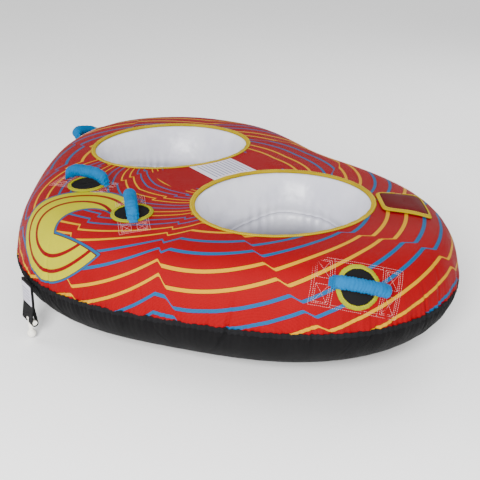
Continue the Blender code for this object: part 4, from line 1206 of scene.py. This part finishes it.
def build_label():
    """Plain label between the cockpits, trimmed back from both rims."""
    half_width = span("centre_label", 0) / 2
    half_length = span("centre_label", 1) / 2
    count = 70
    across = np.linspace(-1, 1, count)[None, :]
    down = np.linspace(-1, 1, count)[:, None] * half_length
    clear = RIM_WIDTH + 0.0016
    level = np.sqrt(1 - (down / (COCKPIT_HALF_LENGTH + clear)) ** 2)
    side = np.minimum(half_width, COCKPIT_X - (COCKPIT_HALF_WIDTH + clear) * level)
    x, y = np.broadcast_arrays(across * side, down)
    points = top_point(x, y)
    points[..., 2] += 0.0005 + 0.0006 * smooth((1 - np.abs(across)) / 0.03)
    label = make_object("label_sheet_centre", points, grid_faces(count, count, around=False),
                        MATERIALS["label"], np.stack([x, y], axis=-1) + 1.0)
    add_numbers(label.data, "margin", np.minimum(side - np.abs(x), half_length - np.abs(y)))
    solidify(label, 0.0009, -1.0)
    attach(label, "tube", "label_sheet", "centre_label")
    build_label_stitches(side[:, 0] - LABEL_STITCH_INSET, down[:, 0])


def build_label_stitches(edge, down):
    """A row of stitches inside each edge of the label."""
    routes = [top_point(turn * edge[2:-2], down[2:-2]) for turn in (-1, 1)]
    for end in (0, -1):
        sweep = np.linspace(-1, 1, 60) * edge[end]
        level = down[end] - math.copysign(LABEL_STITCH_INSET, down[end])
        routes.append(top_point(sweep, np.full(60, level)))
    routes = [route + np.array([0, 0, 0.0016]) for route in routes]
    stitched("label_stitches", routes, MATERIALS["thread"], 0.0036, 0.0014, 0.00045)


# ---- valve flap
FLAP_HEADING = 57.6
FLAP_HALF_LENGTH = 0.074
FLAP_HINGE_REACH = 0.074     # hinge line from the middle of the valve
FLAP_WIDTHS = (0.147, 0.176)
FLAP_BINDING = 0.0095
FLAP_DOME = 0.011
FLAP_EDGE_LIFT = 0.0044
FLAP_CORNER = 9              # squareness of the flap's outline
FLAP_ACROSS = 0.5            # half the flap's depth, as a share
FLAP_BINDING_START = math.radians(100)   # round the flap, past the end of its hinge
VALVE_SEAT_DEPTH = 0.0024    # valve's frame below the cover
FLAP_SECTION = (             # growth outside the flap's edge and height over its cloth
    (0.0, -0.0010), (0.0012, 0.0004), (0.0010, 0.0022), (-0.0008, 0.0030),
    (-FLAP_BINDING * 0.8, 0.0028), (-FLAP_BINDING, 0.0020), (-FLAP_BINDING, 0.0010),
    (-0.004, 0.0012), (-0.004, -0.0012))
WINDOW_SECTION = (           # growth outside the window's edge and height over the cover
    (0.006, 0.0004), (0.0058, 0.0018), (0.0, 0.0021), (-0.0016, 0.0008),
    (-0.0012, -0.0012), (0.0002, -0.0014), (0.0006, 0.0004))


def flap_seat():
    origin, axis = joint_place("valve_insert_turn")
    heading = math.radians(FLAP_HEADING)
    normal = axis if axis[2] > 0 else -axis
    along = (math.cos(heading), math.sin(heading), 0.0)
    return Seat(origin + normal * VALVE_SEAT_DEPTH, along, normal)


def flap_outline(turn):
    """Edge of the flap at a turn round it; a quarter turn is the middle of the hinge."""
    direction = np.arctan2(FLAP_ACROSS * np.sin(turn), FLAP_HALF_LENGTH * np.cos(turn))
    along, across = superellipse(direction, FLAP_HALF_LENGTH, FLAP_ACROSS, FLAP_CORNER)
    share = (along / FLAP_HALF_LENGTH + 1) / 2
    width = FLAP_WIDTHS[0] + (FLAP_WIDTHS[1] - FLAP_WIDTHS[0]) * share
    return along, FLAP_HINGE_REACH + (across - FLAP_ACROSS) * width


def flap_points(seat, turn, scale, height):
    along, across = flap_outline(turn)
    middle = FLAP_HINGE_REACH - sum(FLAP_WIDTHS) / 4
    across = middle + (across - middle) * scale
    along = along * scale
    ripple = 0.0009 * np.sin(along * 70 + 1.0) * np.sin(across * 55) * (1 - scale ** 6)
    lift = FLAP_EDGE_LIFT + FLAP_DOME * (1 - scale ** 4) + ripple + height
    return seat.on_skin(along, across, lift)


def build_flap():
    """Domed cover cloth over the valve, bound on three sides and sewn along the fourth."""
    seat = flap_seat()
    rows, columns = 26, 220
    scale = np.linspace(0.02, 0.985, rows)[:, None]
    points = flap_points(seat, full_turn(columns)[None, :], scale, 0.0003)
    away = points - seat.origin
    flap = make_object("flap_cloth", points, grid_faces(rows, columns), MATERIALS["flap"],
                       np.stack([away @ seat.along, away @ seat.across], axis=-1))
    solidify(flap, COVER_THICKNESS * 0.7)
    attach(flap, "valve_flap", "flap_nylon", "valve_flap")
    build_flap_binding(seat)


def build_flap_binding(seat):
    turn = np.linspace(FLAP_BINDING_START, 3 * math.pi - FLAP_BINDING_START, 320)
    half = sum(FLAP_WIDTHS) / 4
    points = np.empty((len(turn), len(FLAP_SECTION), 3))
    wave = 0.0004 * np.sin(turn * 60) + 0.0004 * np.sin(turn * 23)
    for k, (grow, height) in enumerate(FLAP_SECTION):
        scale = 1 + (grow + 0.5 * wave) / half
        points[:, k] = flap_points(seat, turn, scale, height + 0.5 * wave)
    binding = swept("flap_edging", points, MATERIALS["rim"])
    attach(binding, "valve_flap", "binding_tape", "flap_binding")
    rows = [flap_points(seat, turn, 1 - FLAP_BINDING * 0.78 / half, 0.0034)]
    hinge = np.linspace(math.radians(83), math.radians(97), 40)
    rows += [flap_points(seat, hinge, 1 - inset, 0.0020) for inset in (0.03, 0.10)]
    stitched("flap_stitches", rows, MATERIALS["gold_thread"], 0.0040, 0.0014, 0.0005,
             "valve_flap")


def build_window_edge():
    """Tape turned round the edge of the valve window."""
    seat, angle = flap_seat(), full_turn(160)
    points = np.stack([seat.ring(WINDOW_RADIUS + grow, angle, height)
                       for grow, height in WINDOW_SECTION], axis=1)
    edge = swept("window_edging", points, MATERIALS["webbing"], closed_path=True)
    attach(edge, "tube", "black_webbing")


# ---- tow point
def build_tow_label():
    """White label sewn on the front of the tow webbing, bowed a little."""
    low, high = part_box("tow_label")
    count = 40
    across = np.linspace(-1, 1, count)[None, :]
    down = np.linspace(-1, 1, count)[:, None]
    pull = 1 - 0.03 * across ** 8 * down ** 8
    x = (low.x + high.x) / 2 + across * pull * (high.x - low.x) / 2
    z = (low.z + high.z) / 2 - down * pull * (high.z - low.z) / 2
    y = high.y - 0.0002 - 0.0012 * (1 - across ** 8) * (1 - down ** 8)
    label = make_object("tow_label_sheet", np.stack([x, y, z], axis=-1),
                        grid_faces(count, count, around=False), MATERIALS["tow_label"],
                        np.stack([x - low.x, high.z - z], axis=-1))
    margin = np.minimum(np.minimum(x - low.x, high.x - x), np.minimum(z - low.z, high.z - z))
    add_numbers(label.data, "margin", margin + 0.0030)
    solidify(label, 0.0006, -1.0)
    attach(label, "tow_strap", "label_sheet", "tow_label")


# ---- rear zip and seam thread
ZIP_PITCH = 0.0042
THREAD_REACH = 0.46          # of the rear thread to either side
THREAD_INSETS = (0.060, 0.020)   # in from the rear edge at its ends, and more in its middle


def build_zip_teeth():
    """Coil of the zip: a row of small interlocked teeth along the tape."""
    low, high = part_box("zipper_teeth")
    vertices = frame["nodes"]["zipper_teeth"].data.vertices
    corners = np.array([vertex.co for vertex in vertices])
    corners = corners[np.argsort(corners[:, 0])]
    level = (low.z + high.z) / 2
    points, faces = [], []
    for k in range(int((high.x - low.x) / ZIP_PITCH)):
        x = low.x + (k + 0.5) * ZIP_PITCH
        back = np.interp(x, corners[:, 0], rear_depth(corners)) + 0.0010
        side = 1 if k % 2 else -1
        start = np.array([x, back, level - side * 0.0006])
        end = np.array([x, back, level + side * 0.0034])
        add_pod(points, faces, start, end, 0.0013)
    points = np.array(points)
    teeth = make_object("zip_coil_teeth", points, faces, MATERIALS["coil"], points[:, :2])
    attach(teeth, "tube", "zip_coil", "zipper_teeth")


def rear_depth(corners):
    """Back face of a strip at every corner: the least Y of the corners near its X."""
    return np.array([corners[np.abs(corners[:, 0] - x) < 0.001, 1].min()
                     for x in corners[:, 0]])


def build_rear_thread():
    """Light thread where the cover's rear panel is sewn on, dipping between the lobes."""
    x = np.linspace(-THREAD_REACH, THREAD_REACH, 260)
    edge_x, edge_y = outline(np.linspace(-0.9, 0.9, 600))
    dip = THREAD_INSETS[1] * np.cos(x / THREAD_REACH * math.pi / 2)
    points = top_point(x, np.interp(x, edge_x, edge_y) - THREAD_INSETS[0] - dip)
    points[:, 2] += 0.0010
    stitched("rear_seam_stitches", [points], MATERIALS["thread"], 0.0060, 0.0012, 0.0009)


# ---- stage
FLOOR_REACH = 7.0
FLOOR_GAP = 0.001            # below the tube's underside
SKY_STRENGTH = 1.05
LIGHT_TARGET = (0.0, 0.0, 0.2)
LIGHTS = {                   # place, size and power
    "key": ((3.1, -2.9, 2.3), 1.5, 430.0),
    "fill": ((-2.6, -2.6, 2.0), 2.6, 60.0),
    "back": ((-0.6, 3.2, 2.6), 2.2, 60.0),
}
CAMERA_AZIMUTH = math.radians(56.35)
CAMERA_ELEVATION = math.radians(22.92)
CAMERA_DISTANCE = 3.187
CAMERA_TARGET = Vector((0.0, 0.0, 0.22))
CAMERA_LENS = 68.4
CAMERA_SHIFT = (0.0359, -0.0292)


def look_at(item, target):
    item.rotation_euler = (Vector(target) - item.location).to_track_quat("-Z", "Y").to_euler()


def build_stage():
    spots = np.linspace(-FLOOR_REACH, FLOOR_REACH, 3)
    x, y = np.meshgrid(spots, spots)
    points = np.stack([x, y, np.full_like(x, -FLOOR_GAP)], axis=-1)
    make_object("studio_floor", points, grid_faces(3, 3, around=False),
                         floor_material())
    world = bpy.data.worlds.new("studio")
    world.use_nodes = True
    background = world.node_tree.nodes["Background"]
    background.inputs["Color"].default_value = (1.0, 1.0, 1.0, 1.0)
    background.inputs["Strength"].default_value = SKY_STRENGTH
    bpy.context.scene.world = world


def build_lights():
    for name, (location, size, power) in LIGHTS.items():
        light = bpy.data.lights.new(name, "AREA")
        light.shape = "DISK"
        light.size = size
        light.energy = power
        item = bpy.data.objects.new(name, light)
        bpy.context.scene.collection.objects.link(item)
        item.location = location
        look_at(item, LIGHT_TARGET)


def build_camera():
    camera = bpy.data.objects.new("camera", bpy.data.cameras.new("camera"))
    bpy.context.scene.collection.objects.link(camera)
    level = math.cos(CAMERA_ELEVATION)
    camera.location = CAMERA_TARGET + CAMERA_DISTANCE * Vector((
        math.sin(CAMERA_AZIMUTH) * level, -math.cos(CAMERA_AZIMUTH) * level,
        math.sin(CAMERA_ELEVATION)))
    look_at(camera, CAMERA_TARGET)
    camera.data.sensor_width = 36.0
    camera.data.lens = CAMERA_LENS
    camera.data.shift_x, camera.data.shift_y = CAMERA_SHIFT
    camera.data.clip_end = 60.0
    bpy.context.scene.camera = camera


# ---- CAD nodes that stay
KEPT_NODES = {
    "valve_base": "valve", "valve_insert": "valve", "valve_cap": "valve",
    "valve_seal": "rubber", "tow_hook": "plastic", "tow_strap": "strap", "tow_patch": "zip",
    "flap_loop_tape": "zip", "flap_hook_tape": "zip", "zipper_tape": "zip",
    "zipper_slider": "zip_metal", "zipper_pull": "zip_metal",
}


def dress_nodes():
    for node, name in KEPT_NODES.items():
        coats = frame["nodes"][node].data.materials
        coats.clear()
        coats.append(MATERIALS[name])


def main():
    for build in (build_stage, build_lights, build_camera, build_cover, build_band,
                  build_floor_panel, build_seam_tape, build_bladder):
        build()
    for label, side in (("left", 1), ("right", -1)):
        build_rim(label, side)
    for name in GUARDS:
        build_guard(name)
        build_grip(name)
        build_handle_stitches(name)
    for build in (build_label, build_flap, build_window_edge, build_tow_label,
                  build_zip_teeth, build_rear_thread, dress_nodes):
        build()


main()
